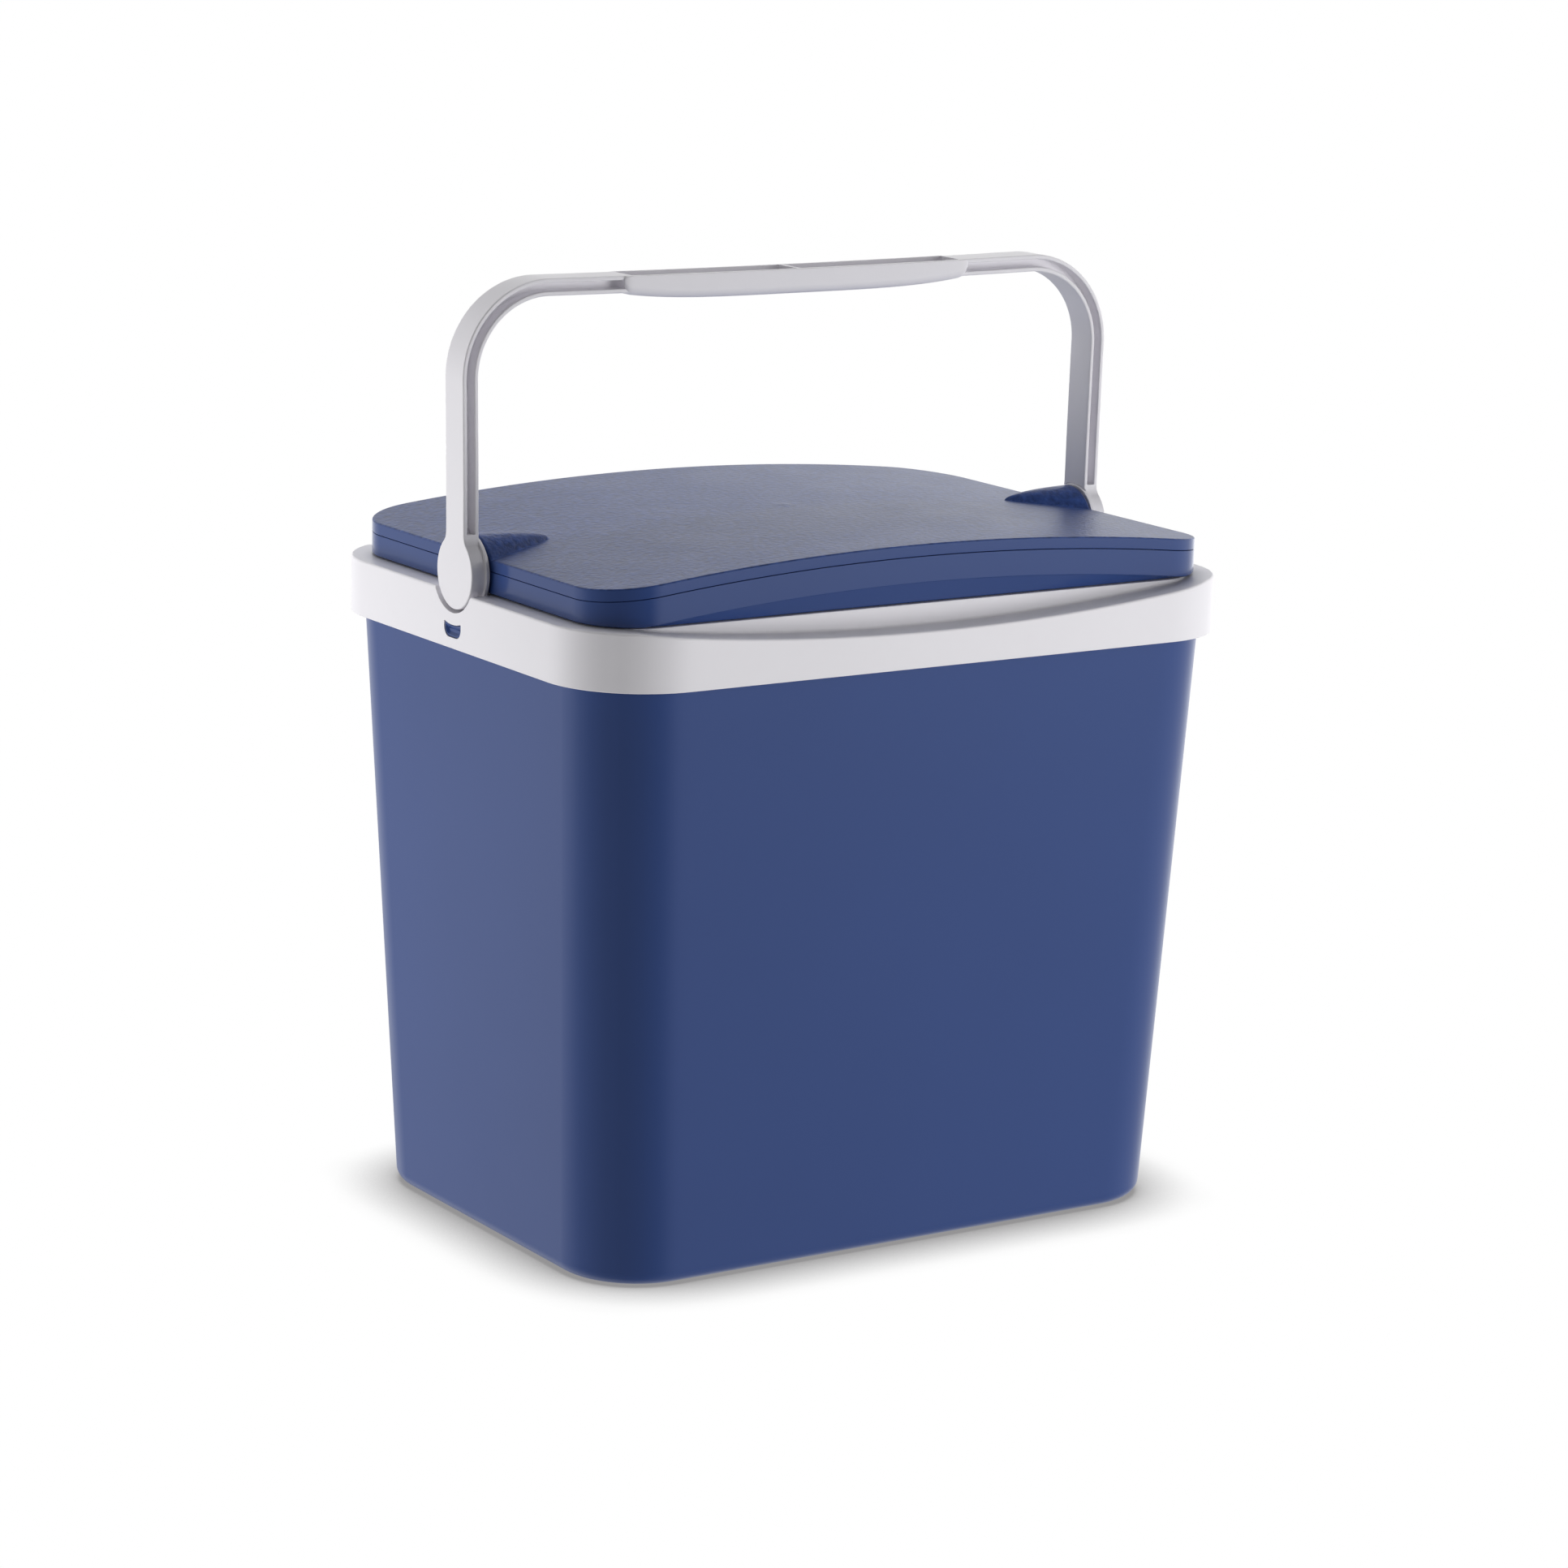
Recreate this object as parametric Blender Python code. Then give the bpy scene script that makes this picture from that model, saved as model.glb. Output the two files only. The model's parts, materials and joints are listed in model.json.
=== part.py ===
"""Insulated cooler chest with a lift-off lid and a swinging bail handle.

Metres, +Z up. The origin is on the floor, under the middle of the chest. The wide sides face
-Y and +Y, and the bail turns about an axis along X.
"""

import math

import bmesh
import bpy

MM = 0.001

# Plan sizes are (width along X, depth along Y, corner radius).
COLLAR_PLAN = (400 * MM, 297.4 * MM, 51.7 * MM)
NECK_PLAN = (372 * MM, 263 * MM, 31 * MM)
LID_PLAN = (376.4 * MM, 267.4 * MM, 33 * MM)
PLUG_PLAN = (343 * MM, 240.6 * MM, 26 * MM)
TUB_FOOT_PLAN = (357.9 * MM, 252.2 * MM, 43.9 * MM)
TUB_SHOULDER_PLAN = (384.6 * MM, 282.2 * MM, 44 * MM)

# Heights.
TUB_SHOULDER_Z = 313.4 * MM
TUB_TOP_Z = 328 * MM
FOOT_EDGE = 7 * MM
FOOT_RING_WIDTH = 22 * MM
FOOT_RECESS = 2 * MM
RIM_Z = 343.2 * MM
LID_EDGE_Z = 361.6 * MM
LID_CROWN = 12.5 * MM
LID_BAND = 6.1 * MM
LID_SKIRT_Z = 344 * MM
PLUG_Z = 322 * MM

# Walls, insulation and the gap between pieces that touch.
TUB_WALL = 2 * MM
COLLAR_WALL = 2.5 * MM
LID_WALL = 2.2 * MM
LINER_WALL = 1.6 * MM
FOAM = 15 * MM
LID_FOAM_TOP_Z = 355 * MM
GAP = 0.3 * MM
BEAD = 1.2 * MM

# The eye-shaped finger recess, half in the collar and half in the lid, front and rear.
RECESS_DROP = 11 * MM
RECESS_HALF = 173.5 * MM
RECESS_STEP = 2.6 * MM
LEDGE_FILLET = 3 * MM

# Bail handle.
PIVOT_Z = 353 * MM
DISC_HALF_Y = 18.3 * MM
DISC_HALF_Z = 19.2 * MM
ARM_OUTER_X = 199.1 * MM
ARM_THICK = 9 * MM
ARM_HALF_Y = 9.35 * MM
ARM_SPLAY = 1.2 * MM
FLANGE = 2.3 * MM
WEB_HALF = 3 * MM
BAIL_TOP_Z = 501.5 * MM
BAIL_BEND = 49.2 * MM
BAIL_BOW = 1 * MM
PIN_RADIUS = 6 * MM
PIN_END_X = 179.5 * MM
FOOT_STEP = 1 * MM
FOOT_STEP_RADIUS = 20.5 * MM
ARM_FOOT_Z = 366 * MM
ARM_MIDDLE_Z = 410 * MM

# Hand grip in the middle of the bail.
GRIP_HALF = 107 * MM
GRIP_HALF_Y = 11 * MM
GRIP_BOTTOM_Z = 487.3 * MM
GRIP_END_RISE = 4.2 * MM
GRIP_ROUND = 4.5 * MM
GRIP_TAPER = 1.3 * MM
POCKET_HALF = 102 * MM
POCKET_HALF_Y = 8.8 * MM
POCKET_FLOOR_Z = 491.5 * MM
RIB = 2.2 * MM

# Pivot lugs on the collar, the pockets round the discs, and the snap windows.
LUG_INNER_X = 178.4 * MM
LUG_OUTER_X = 188.4 * MM
LUG_RADIUS = 15 * MM
LUG_CLEARANCE = 1.2 * MM
BORE_RADIUS = 6.4 * MM
NOTCH_RADIUS = 20.9 * MM
NOTCH_WALL = 2.3 * MM
WINDOW_HALF = 8.5 * MM
WINDOW_BOTTOM_Z = 319.2 * MM
WINDOW_TOP_RADIUS = 27.3 * MM
WINDOW_CORNER = 5 * MM
HOOK_HALF = 7 * MM
HOOK_FOOT_Z = 320 * MM
HOOK_TOP_Z = 326 * MM
HOOK_REACH = 3.5 * MM
CUTTER_END_X = 206 * MM

# Hoods of the lid over the pivot lugs.
HOOD_TIP_X = 143.3 * MM
HOOD_HALF_Y = 18.2 * MM
HOOD_RISE = 10.1 * MM
HOOD_ROOT = 1.5 * MM

CORNER_CUTS = 8
SIDE_CUTS = 14
ROUND = 40

BLUE = (0.045, 0.075, 0.20, 1)
BLUE_LID = (0.05, 0.08, 0.21, 1)
OFF_WHITE = (0.80, 0.79, 0.82, 1)
LINER_WHITE = (0.86, 0.87, 0.88, 1)
FOAM_WHITE = (0.90, 0.90, 0.88, 1)


def clear_scene():
    for thing in list(bpy.data.objects):
        bpy.data.objects.remove(thing, do_unlink=True)


def plastic(name, colour, roughness):
    material = bpy.data.materials.new(name)
    material.use_nodes = True
    shader = material.node_tree.nodes["Principled BSDF"]
    shader.inputs["Base Color"].default_value = colour
    shader.inputs["Roughness"].default_value = roughness
    shader.inputs["Metallic"].default_value = 0.0
    return material


def inset(plan, amount):
    width, depth, radius = plan
    return width - 2 * amount, depth - 2 * amount, max(radius - amount, 4 * MM)


def tub_plan(z, amount=0.0):
    """Plan of the tapered outer tub at a height, moved inward by an amount."""
    share = z / TUB_SHOULDER_Z
    plan = [low + (high - low) * share for low, high in zip(TUB_FOOT_PLAN, TUB_SHOULDER_PLAN)]
    return inset(plan, amount)


def outline(plan):
    """Rounded rectangle, anticlockwise from the left side. Points k and -1-k share one X."""
    width, depth, radius = plan
    centre_x, centre_y = width / 2 - radius, depth / 2 - radius
    front = []
    for cut in range(CORNER_CUTS + 1):
        turn = math.pi * (1 + cut / (2 * CORNER_CUTS))
        front.append((-centre_x + radius * math.cos(turn), -centre_y + radius * math.sin(turn)))
    for cut in range(1, SIDE_CUTS):
        front.append((centre_x * (2 * cut / SIDE_CUTS - 1), -depth / 2))
    for cut in range(CORNER_CUTS + 1):
        turn = math.pi * (1.5 + cut / (2 * CORNER_CUTS))
        front.append((centre_x + radius * math.cos(turn), -centre_y + radius * math.sin(turn)))
    return front + [(x, -y) for x, y in reversed(front)]


def ring(plan, height):
    """Outline at a height, which is a number or a function of X."""
    level = height if callable(height) else lambda x: height
    return [(x, y, level(x)) for x, y in outline(plan)]


def lid_top(x):
    return LID_EDGE_Z + LID_CROWN * (1 - (x / (LID_PLAN[0] / 2)) ** 2)


def below_lid_top(depth):
    return lambda x: lid_top(x) - depth


def ledge(x):
    """Top of the collar's outer ledge, which dips in the middle of each wide side."""
    return min(RIM_Z, RIM_Z - RECESS_DROP * (1 - (x / RECESS_HALF) ** 2))


def ledge_shifted(rise, ceiling):
    return lambda x: min(ceiling, ledge(x) + rise)


def skirt_bottom(x):
    """Lower edge of the lid's skirt, which arches up opposite the collar's dip."""
    return max(LID_SKIRT_Z, RIM_Z + RECESS_DROP * (1 - (x / RECESS_HALF) ** 2))


def mesh_object(name, material, points, faces, sharp=35):
    mesh = bpy.data.meshes.new(name)
    mesh.from_pydata(points, [], faces)
    work = bmesh.new()
    work.from_mesh(mesh)
    bmesh.ops.recalc_face_normals(work, faces=work.faces)
    work.to_mesh(mesh)
    work.free()
    if material:
        mesh.materials.append(material)
    mesh.shade_smooth()
    mesh.set_sharp_from_angle(angle=math.radians(sharp))
    thing = bpy.data.objects.new(name, mesh)
    bpy.context.collection.objects.link(thing)
    return thing


def skin(name, material, rings, looped=False):
    """Closed body through rings of equal length. A ladder of quads caps each end."""
    count = len(rings[0])
    points = [point for one in rings for point in one]
    faces = []
    for low in range(len(rings) if looped else len(rings) - 1):
        high = (low + 1) % len(rings)
        for k in range(count):
            after = (k + 1) % count
            faces.append((low * count + k, low * count + after, high * count + after, high * count + k))
    if not looped:
        for start in (0, (len(rings) - 1) * count):
            for k in range(count // 2 - 1):
                faces.append((start + k, start + k + 1, start + count - 2 - k, start + count - 1 - k))
    return mesh_object(name, material, points, faces)


def loft(name, material, sections):
    """Closed body through sections of equal length, with a flat cap at each end."""
    count = len(sections[0])
    points = [point for section in sections for point in section]
    faces = []
    for low in range(0, len(points) - count, count):
        for k in range(count):
            after = (k + 1) % count
            faces.append((low + k, low + after, low + count + after, low + count + k))
    faces += [tuple(range(count)), tuple(range(len(points) - count, len(points)))]
    return mesh_object(name, material, points, faces)


def prism(name, material, profile, start_x, end_x):
    """A profile of (Y, Z) points, extruded along X."""
    return loft(name, material, [[(x, y, z) for y, z in profile] for x in (start_x, end_x)])


def oval(half_y, half_z, centre_z=PIVOT_Z, cuts=ROUND):
    turns = [2 * math.pi * k / cuts for k in range(cuts)]
    return [(half_y * math.cos(turn), centre_z + half_z * math.sin(turn)) for turn in turns]


def arch(radius, foot_z, cuts=ROUND // 2):
    """Upright sides from foot_z with a round head about the pivot."""
    head = [math.pi * k / cuts for k in range(cuts + 1)]
    rounded = [(radius * math.cos(turn), PIVOT_Z + radius * math.sin(turn)) for turn in head]
    return [(radius, foot_z)] + rounded + [(-radius, foot_z)]


def block(name, material, low, high):
    profile = [(low[1], low[2]), (high[1], low[2]), (high[1], high[2]), (low[1], high[2])]
    return prism(name, material, profile, low[0], high[0])


def helper(thing):
    thing.hide_render = True
    thing.display_type = "WIRE"
    return thing


def combine(target, other, operation):
    modifier = target.modifiers.new(other.name, "BOOLEAN")
    modifier.operation = operation
    modifier.object = helper(other)
    modifier.solver = "EXACT"


def outer_tub(material):
    ring_inner = FOOT_RING_WIDTH + FOOT_EDGE
    rings = [
        ring(tub_plan(0, ring_inner + FOOT_RECESS), FOOT_RECESS),
        ring(tub_plan(0, ring_inner), 0.0),
        ring(tub_plan(0, FOOT_EDGE), 0.0),
        ring(tub_plan(0, FOOT_EDGE * 0.45), FOOT_EDGE * 0.15),
        ring(tub_plan(0, FOOT_EDGE * 0.12), FOOT_EDGE * 0.5),
        ring(tub_plan(FOOT_EDGE), FOOT_EDGE),
        ring(tub_plan(TUB_TOP_Z), TUB_TOP_Z),
        ring(tub_plan(TUB_TOP_Z, TUB_WALL), TUB_TOP_Z),
        ring(tub_plan(2 * FOOT_EDGE, TUB_WALL), 2 * FOOT_EDGE),
        ring(tub_plan(FOOT_EDGE, TUB_WALL + 4 * MM), FOOT_RECESS + TUB_WALL),
    ]
    tub = skin("outer_tub", material, rings)
    for side in (-1, 1):
        wall = tub_plan(HOOK_TOP_Z)[0] / 2
        low_x, high_x = sorted((side * (wall - TUB_WALL / 2), side * (wall + HOOK_REACH)))
        low, high = (low_x, -HOOK_HALF, HOOK_FOOT_Z), (high_x, HOOK_HALF, HOOK_TOP_Z)
        combine(tub, block(f"hook_{side}", material, low, high), "UNION")
    return tub


def inner_liner(material):
    outside = TUB_WALL + FOAM + 2 * GAP
    inside = outside + LINER_WALL
    floor = FOOT_RECESS + TUB_WALL + FOAM + 2 * GAP
    flange_top = RIM_Z - COLLAR_WALL - GAP
    flange = inset(NECK_PLAN, COLLAR_WALL + 1 * MM)
    rings = [
        ring(tub_plan(floor, outside + 6 * MM), floor),
        ring(tub_plan(floor, outside + 1.5 * MM), floor + 1.5 * MM),
        ring(tub_plan(floor, outside), floor + 6 * MM),
        ring(tub_plan(flange_top, outside), flange_top - LINER_WALL),
        ring(flange, flange_top - LINER_WALL),
        ring(flange, flange_top),
        ring(tub_plan(flange_top, inside), flange_top),
        ring(tub_plan(floor, inside), floor + 8 * MM),
        ring(tub_plan(floor, inside + 1.5 * MM), floor + LINER_WALL + 2 * MM),
        ring(tub_plan(floor, inside + 6 * MM), floor + LINER_WALL),
    ]
    return skin("inner_liner", material, rings)


def foam_panel(name, material, side_x, side_y):
    """A board that leans with the tub wall. One of side_x and side_y is zero."""
    low_z = FOOT_RECESS + TUB_WALL + GAP + FOAM + 6 * MM
    high_z = TUB_TOP_Z - 2 * MM
    points = []
    for z in (low_z, high_z):
        width, depth, radius = tub_plan(z, TUB_WALL + GAP)
        half_run = (depth if side_x else width) / 2 - radius
        outer = (width if side_x else depth) / 2
        for across in (outer, outer - FOAM):
            for along in (-half_run, half_run):
                if side_x:
                    points.append((side_x * across, along, z))
                else:
                    points.append((along, side_y * across, z))
    faces = [(0, 1, 3, 2), (4, 6, 7, 5), (0, 4, 5, 1), (2, 3, 7, 6), (0, 2, 6, 4), (1, 5, 7, 3)]
    return mesh_object(name, material, points, faces)


def floor_foam_panel(material):
    low = FOOT_RECESS + TUB_WALL + GAP
    plan = tub_plan(low, TUB_WALL + 7 * MM)
    return skin("floor_foam_panel", material, [ring(plan, low), ring(plan, low + FOAM - GAP)])


def rim_collar(material):
    throat = tub_plan(RIM_Z, TUB_WALL + FOAM + 2 * GAP + LINER_WALL)
    under = RIM_Z - COLLAR_WALL
    rings = [
        ring(COLLAR_PLAN, TUB_SHOULDER_Z),
        ring(COLLAR_PLAN, ledge_shifted(-BEAD, RIM_Z)),
        ring(inset(COLLAR_PLAN, BEAD * 0.3), ledge_shifted(-BEAD * 0.3, RIM_Z)),
        ring(inset(COLLAR_PLAN, BEAD), ledge),
        ring(inset(NECK_PLAN, -LEDGE_FILLET), ledge),
        ring(inset(NECK_PLAN, -LEDGE_FILLET * 0.3), ledge_shifted(LEDGE_FILLET * 0.3, RIM_Z)),
        ring(NECK_PLAN, ledge_shifted(LEDGE_FILLET, RIM_Z)),
        ring(inset(NECK_PLAN, 0.2 * MM), RIM_Z),
        ring(throat, RIM_Z),
        ring(throat, under),
        ring(inset(NECK_PLAN, COLLAR_WALL), under),
        ring(inset(NECK_PLAN, 1 * MM), ledge_shifted(-COLLAR_WALL, under)),
        ring(inset(COLLAR_PLAN, COLLAR_WALL), ledge_shifted(-COLLAR_WALL, under)),
        ring(inset(COLLAR_PLAN, COLLAR_WALL), TUB_SHOULDER_Z),
    ]
    collar = skin("rim_collar", material, rings, looped=True)
    for side, label in ((-1, "left"), (1, "right")):
        add_pivot_seat(collar, material, side, label)
    return collar


def add_pivot_seat(collar, material, side, label):
    """Lug and bore for the pin, the round pocket for the disc, and the snap window below."""
    foot = RIM_Z - COLLAR_WALL / 2
    lug_profile = arch(LUG_RADIUS, foot)
    lug = prism(f"lug_{label}", material, lug_profile, LUG_INNER_X * side, LUG_OUTER_X * side)
    combine(collar, lug, "UNION")
    cup_radius = NOTCH_RADIUS + NOTCH_WALL
    lean = math.asin((PIVOT_Z - foot) / cup_radius)
    turns = [math.pi + lean + (math.pi - 2 * lean) * k / 20 for k in range(21)]
    rim = [(cup_radius * math.cos(turn), PIVOT_Z + cup_radius * math.sin(turn)) for turn in turns]
    back, front = LUG_OUTER_X - COLLAR_WALL, COLLAR_PLAN[0] / 2 - COLLAR_WALL / 2
    combine(collar, prism(f"cup_{label}", material, rim, back * side, front * side), "UNION")
    cuts = {
        "notch": (oval(NOTCH_RADIUS, NOTCH_RADIUS, cuts=64), LUG_OUTER_X),
        "bore": (oval(BORE_RADIUS, BORE_RADIUS), LUG_INNER_X - LUG_CLEARANCE),
        "window": (window_profile(), COLLAR_PLAN[0] / 2 - 2 * COLLAR_WALL),
    }
    for kind, (profile, start_x) in cuts.items():
        cutter = prism(f"{kind}_{label}", None, profile, start_x * side, CUTTER_END_X * side)
        combine(collar, cutter, "DIFFERENCE")


def window_profile():
    """D shape: a top edge round the pivot, straight sides and rounded lower corners."""
    reach = math.asin(WINDOW_HALF / WINDOW_TOP_RADIUS)
    points = []
    for cut in range(9):
        turn = -math.pi / 2 - reach + 2 * reach * cut / 8
        points.append((WINDOW_TOP_RADIUS * math.cos(turn), PIVOT_Z + WINDOW_TOP_RADIUS * math.sin(turn)))
    for side, first in ((1, 0.0), (-1, -math.pi / 2)):
        for cut in range(5):
            turn = first - math.pi / 2 * cut / 4
            y = side * (WINDOW_HALF - WINDOW_CORNER) + WINDOW_CORNER * math.cos(turn)
            points.append((y, WINDOW_BOTTOM_Z + WINDOW_CORNER + WINDOW_CORNER * math.sin(turn)))
    return points


def hood(name, material, side):
    """Half-cone that swells from a tip on the lid's top to a round end over the lug."""
    end_x = LID_PLAN[0] / 2
    stations, across = 10, 12
    sections = []
    for station in range(stations + 1):
        share = max(station / stations, 0.03)
        x = HOOD_TIP_X + (end_x - HOOD_TIP_X) * share
        half, rise, base = HOOD_HALF_Y * share**0.8, HOOD_RISE * share**0.6, lid_top(x)
        radius = (half * half + rise * rise) / (2 * rise)
        reach = math.atan2(half, radius - rise)
        section = []
        for cut in range(across + 1):
            turn = reach * (1 - 2 * cut / across)
            section.append((radius * math.sin(turn), base + rise - radius * (1 - math.cos(turn))))
        section += [(-half, base - HOOD_ROOT), (half, base - HOOD_ROOT)]
        sections.append([(side * x, y, z) for y, z in section])
    return loft(name, material, sections)


def lug_clearance(name, side):
    """Cutter for the slot that lets the lid drop over a lug."""
    profile = arch(LUG_RADIUS + LUG_CLEARANCE, RIM_Z - LUG_CLEARANCE)
    return prism(name, None, profile, (LUG_INNER_X - LUG_CLEARANCE) * side, CUTTER_END_X * side)


def lid_cover(material):
    rings = [
        ring(inset(LID_PLAN, LID_WALL), below_lid_top(LID_WALL)),
        ring(inset(LID_PLAN, LID_WALL), below_lid_top(LID_BAND)),
        ring(LID_PLAN, below_lid_top(LID_BAND)),
        ring(LID_PLAN, below_lid_top(BEAD)),
        ring(inset(LID_PLAN, BEAD * 0.3), below_lid_top(BEAD * 0.3)),
        ring(inset(LID_PLAN, BEAD), lid_top),
    ]
    cover = skin("lid_cover", material, rings)
    for side, label in ((-1, "left"), (1, "right")):
        combine(cover, hood(f"hood_{label}", material, side), "UNION")
        combine(cover, lug_clearance(f"cover_slot_{label}", side), "DIFFERENCE")
    return cover


def lid_tray(material):
    seat = RIM_Z + 0.5 * MM
    floor = seat + LID_WALL
    seam = LID_BAND + GAP
    rings = [
        ring(inset(PLUG_PLAN, 3 * MM), PLUG_Z),
        ring(PLUG_PLAN, PLUG_Z + 3 * MM),
        ring(PLUG_PLAN, seat),
        ring(inset(LID_PLAN, RECESS_STEP), seat),
        ring(inset(LID_PLAN, RECESS_STEP), skirt_bottom),
        ring(LID_PLAN, skirt_bottom),
        ring(LID_PLAN, below_lid_top(seam)),
        ring(inset(LID_PLAN, LID_WALL), below_lid_top(seam)),
        ring(inset(LID_PLAN, LID_WALL), lambda x: skirt_bottom(x) + LID_WALL),
        ring(inset(LID_PLAN, RECESS_STEP + LID_WALL), lambda x: skirt_bottom(x) + LID_WALL),
        ring(inset(LID_PLAN, RECESS_STEP + LID_WALL + GAP), floor),
        ring(inset(PLUG_PLAN, LID_WALL), floor),
        ring(inset(PLUG_PLAN, LID_WALL), PLUG_Z + LID_WALL),
    ]
    tray = skin("lid_tray", material, rings)
    for side, label in ((-1, "left"), (1, "right")):
        combine(tray, lug_clearance(f"tray_slot_{label}", side), "DIFFERENCE")
    return tray


def lid_foam(material):
    plan = inset(PLUG_PLAN, LID_WALL + GAP)
    return skin("lid_foam", material, [ring(plan, PLUG_Z + LID_WALL + GAP), ring(plan, LID_FOAM_TOP_Z)])


def bail_path():
    """Centre line of the bail in the XZ plane, from the right foot over the top to the left."""
    centre_x = ARM_OUTER_X - ARM_THICK / 2
    bend = BAIL_BEND - ARM_THICK / 2
    top_z = BAIL_TOP_Z - ARM_THICK / 2
    corner_x = centre_x + ARM_SPLAY - bend
    right = [(centre_x, ARM_FOOT_Z), (centre_x + ARM_SPLAY / 2, ARM_MIDDLE_Z)]
    for cut in range(11):
        turn = math.pi / 2 * cut / 10
        right.append((corner_x + bend * math.cos(turn), top_z - bend + bend * math.sin(turn)))
    for cut in range(1, 6):
        x = corner_x * (1 - cut / 5)
        right.append((x, top_z - BAIL_BOW * (1 - (x / corner_x) ** 2)))
    return right + [(-x, z) for x, z in reversed(right[:-1])]


def channel_section():
    """H section as (distance outward, Y): two flanges joined by a web, open front and back."""
    half, inner = ARM_THICK / 2, ARM_THICK / 2 - FLANGE
    quarter = [(half, 0.0), (half, ARM_HALF_Y), (inner, ARM_HALF_Y), (inner, WEB_HALF)]
    upper = quarter + [(-out, y) for out, y in reversed(quarter[1:])]
    return upper + [(-half, 0.0)] + [(out, -y) for out, y in reversed(upper[1:])]


def channel(material):
    path, section = bail_path(), channel_section()
    sections = []
    for k, (x, z) in enumerate(path):
        before, after = path[max(k - 1, 0)], path[min(k + 1, len(path) - 1)]
        run_x, run_z = after[0] - before[0], after[1] - before[1]
        length = math.hypot(run_x, run_z)
        out_x, out_z = run_z / length, -run_x / length
        sections.append([(x + out * out_x, y, z + out * out_z) for out, y in section])
    return loft("bail_handle", material, sections)


def grip(material):
    """Hand grip: a bar with a rounded underside that is deepest in the middle."""
    stations, sections = 22, []
    for station in range(stations + 1):
        x = GRIP_HALF * math.sin(math.pi * (station / stations - 0.5))
        share = abs(x) / GRIP_HALF
        half = GRIP_HALF_Y - GRIP_TAPER * max(0.0, (share - 0.92) / 0.08) ** 2
        bottom = GRIP_BOTTOM_Z + GRIP_END_RISE * share**4
        top = BAIL_TOP_Z - BAIL_BOW * (1 - (x / (ARM_OUTER_X - BAIL_BEND)) ** 2)
        lower = []
        for cut in range(5):
            turn = math.pi / 2 * cut / 4
            y = half - GRIP_ROUND * (1 - math.sin(turn))
            lower.append((y, bottom + GRIP_ROUND * (1 - math.cos(turn))))
        section = [(-y, z) for y, z in reversed(lower)] + lower
        section += [(half, top - BEAD), (half - BEAD, top), (-half + BEAD, top), (-half, top - BEAD)]
        sections.append([(x, y, z) for y, z in section])
    return loft("grip_bar", material, sections)


def bail_handle(material):
    bail = channel(material)
    inner_x = ARM_OUTER_X - ARM_THICK
    disc = oval(DISC_HALF_Y, DISC_HALF_Z)
    step = oval(FOOT_STEP_RADIUS, FOOT_STEP_RADIUS)
    pin = oval(PIN_RADIUS, PIN_RADIUS)
    shapes = {
        "disc": (disc, inner_x, ARM_OUTER_X, "UNION"),
        "foot_step": (step, inner_x - FOOT_STEP, inner_x + FOOT_STEP, "DIFFERENCE"),
        "pin": (pin, PIN_END_X, inner_x + ARM_THICK / 3, "UNION"),
    }
    for kind, (profile, start_x, end_x, operation) in shapes.items():
        for side, label in ((-1, "left"), (1, "right")):
            shape = prism(f"{kind}_{label}", material, profile, start_x * side, end_x * side)
            combine(bail, shape, operation)
    combine(bail, grip(material), "UNION")
    for side, label in ((-1, "left"), (1, "right")):
        low_x, high_x = sorted((RIB / 2 * side, POCKET_HALF * side))
        low = (low_x, -POCKET_HALF_Y, POCKET_FLOOR_Z)
        high = (high_x, POCKET_HALF_Y, BAIL_TOP_Z + ARM_THICK)
        combine(bail, block(f"pocket_{label}", None, low, high), "DIFFERENCE")
    return bail


def hang_on_axis(thing):
    """Parents the bail, and the shapes that cut it, to an empty on the pivot axis."""
    axis = bpy.data.objects.new("bail_axis", None)
    axis.location = (0, 0, PIVOT_Z)
    bpy.context.collection.objects.link(axis)
    for piece in [thing] + [modifier.object for modifier in thing.modifiers]:
        piece.parent = axis
        piece.matrix_parent_inverse.translation = (0, 0, -PIVOT_Z)


def build():
    clear_scene()
    blue = plastic("tub_blue_plastic", BLUE, 0.42)
    lid_blue = plastic("lid_blue_plastic", BLUE_LID, 0.5)
    off_white = plastic("off_white_plastic", OFF_WHITE, 0.38)
    outer_tub(blue)
    rim_collar(off_white)
    inner_liner(plastic("liner_white_plastic", LINER_WHITE, 0.35))
    foam = plastic("white_foam", FOAM_WHITE, 0.9)
    floor_foam_panel(foam)
    sides = {"front": (0, -1), "rear": (0, 1), "left": (-1, 0), "right": (1, 0)}
    for label, (side_x, side_y) in sides.items():
        foam_panel(f"{label}_foam_panel", foam, side_x, side_y)
    lid_cover(lid_blue)
    lid_tray(lid_blue)
    lid_foam(foam)
    hang_on_axis(bail_handle(off_white))


build()
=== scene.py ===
"""Looks of the cooler chest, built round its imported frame.

Lengths are in metres, +Z is up, and the wide sides face -Y and +Y.
"""

import json
import math

import bmesh
import bpy
from mathutils import Matrix, Vector


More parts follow.
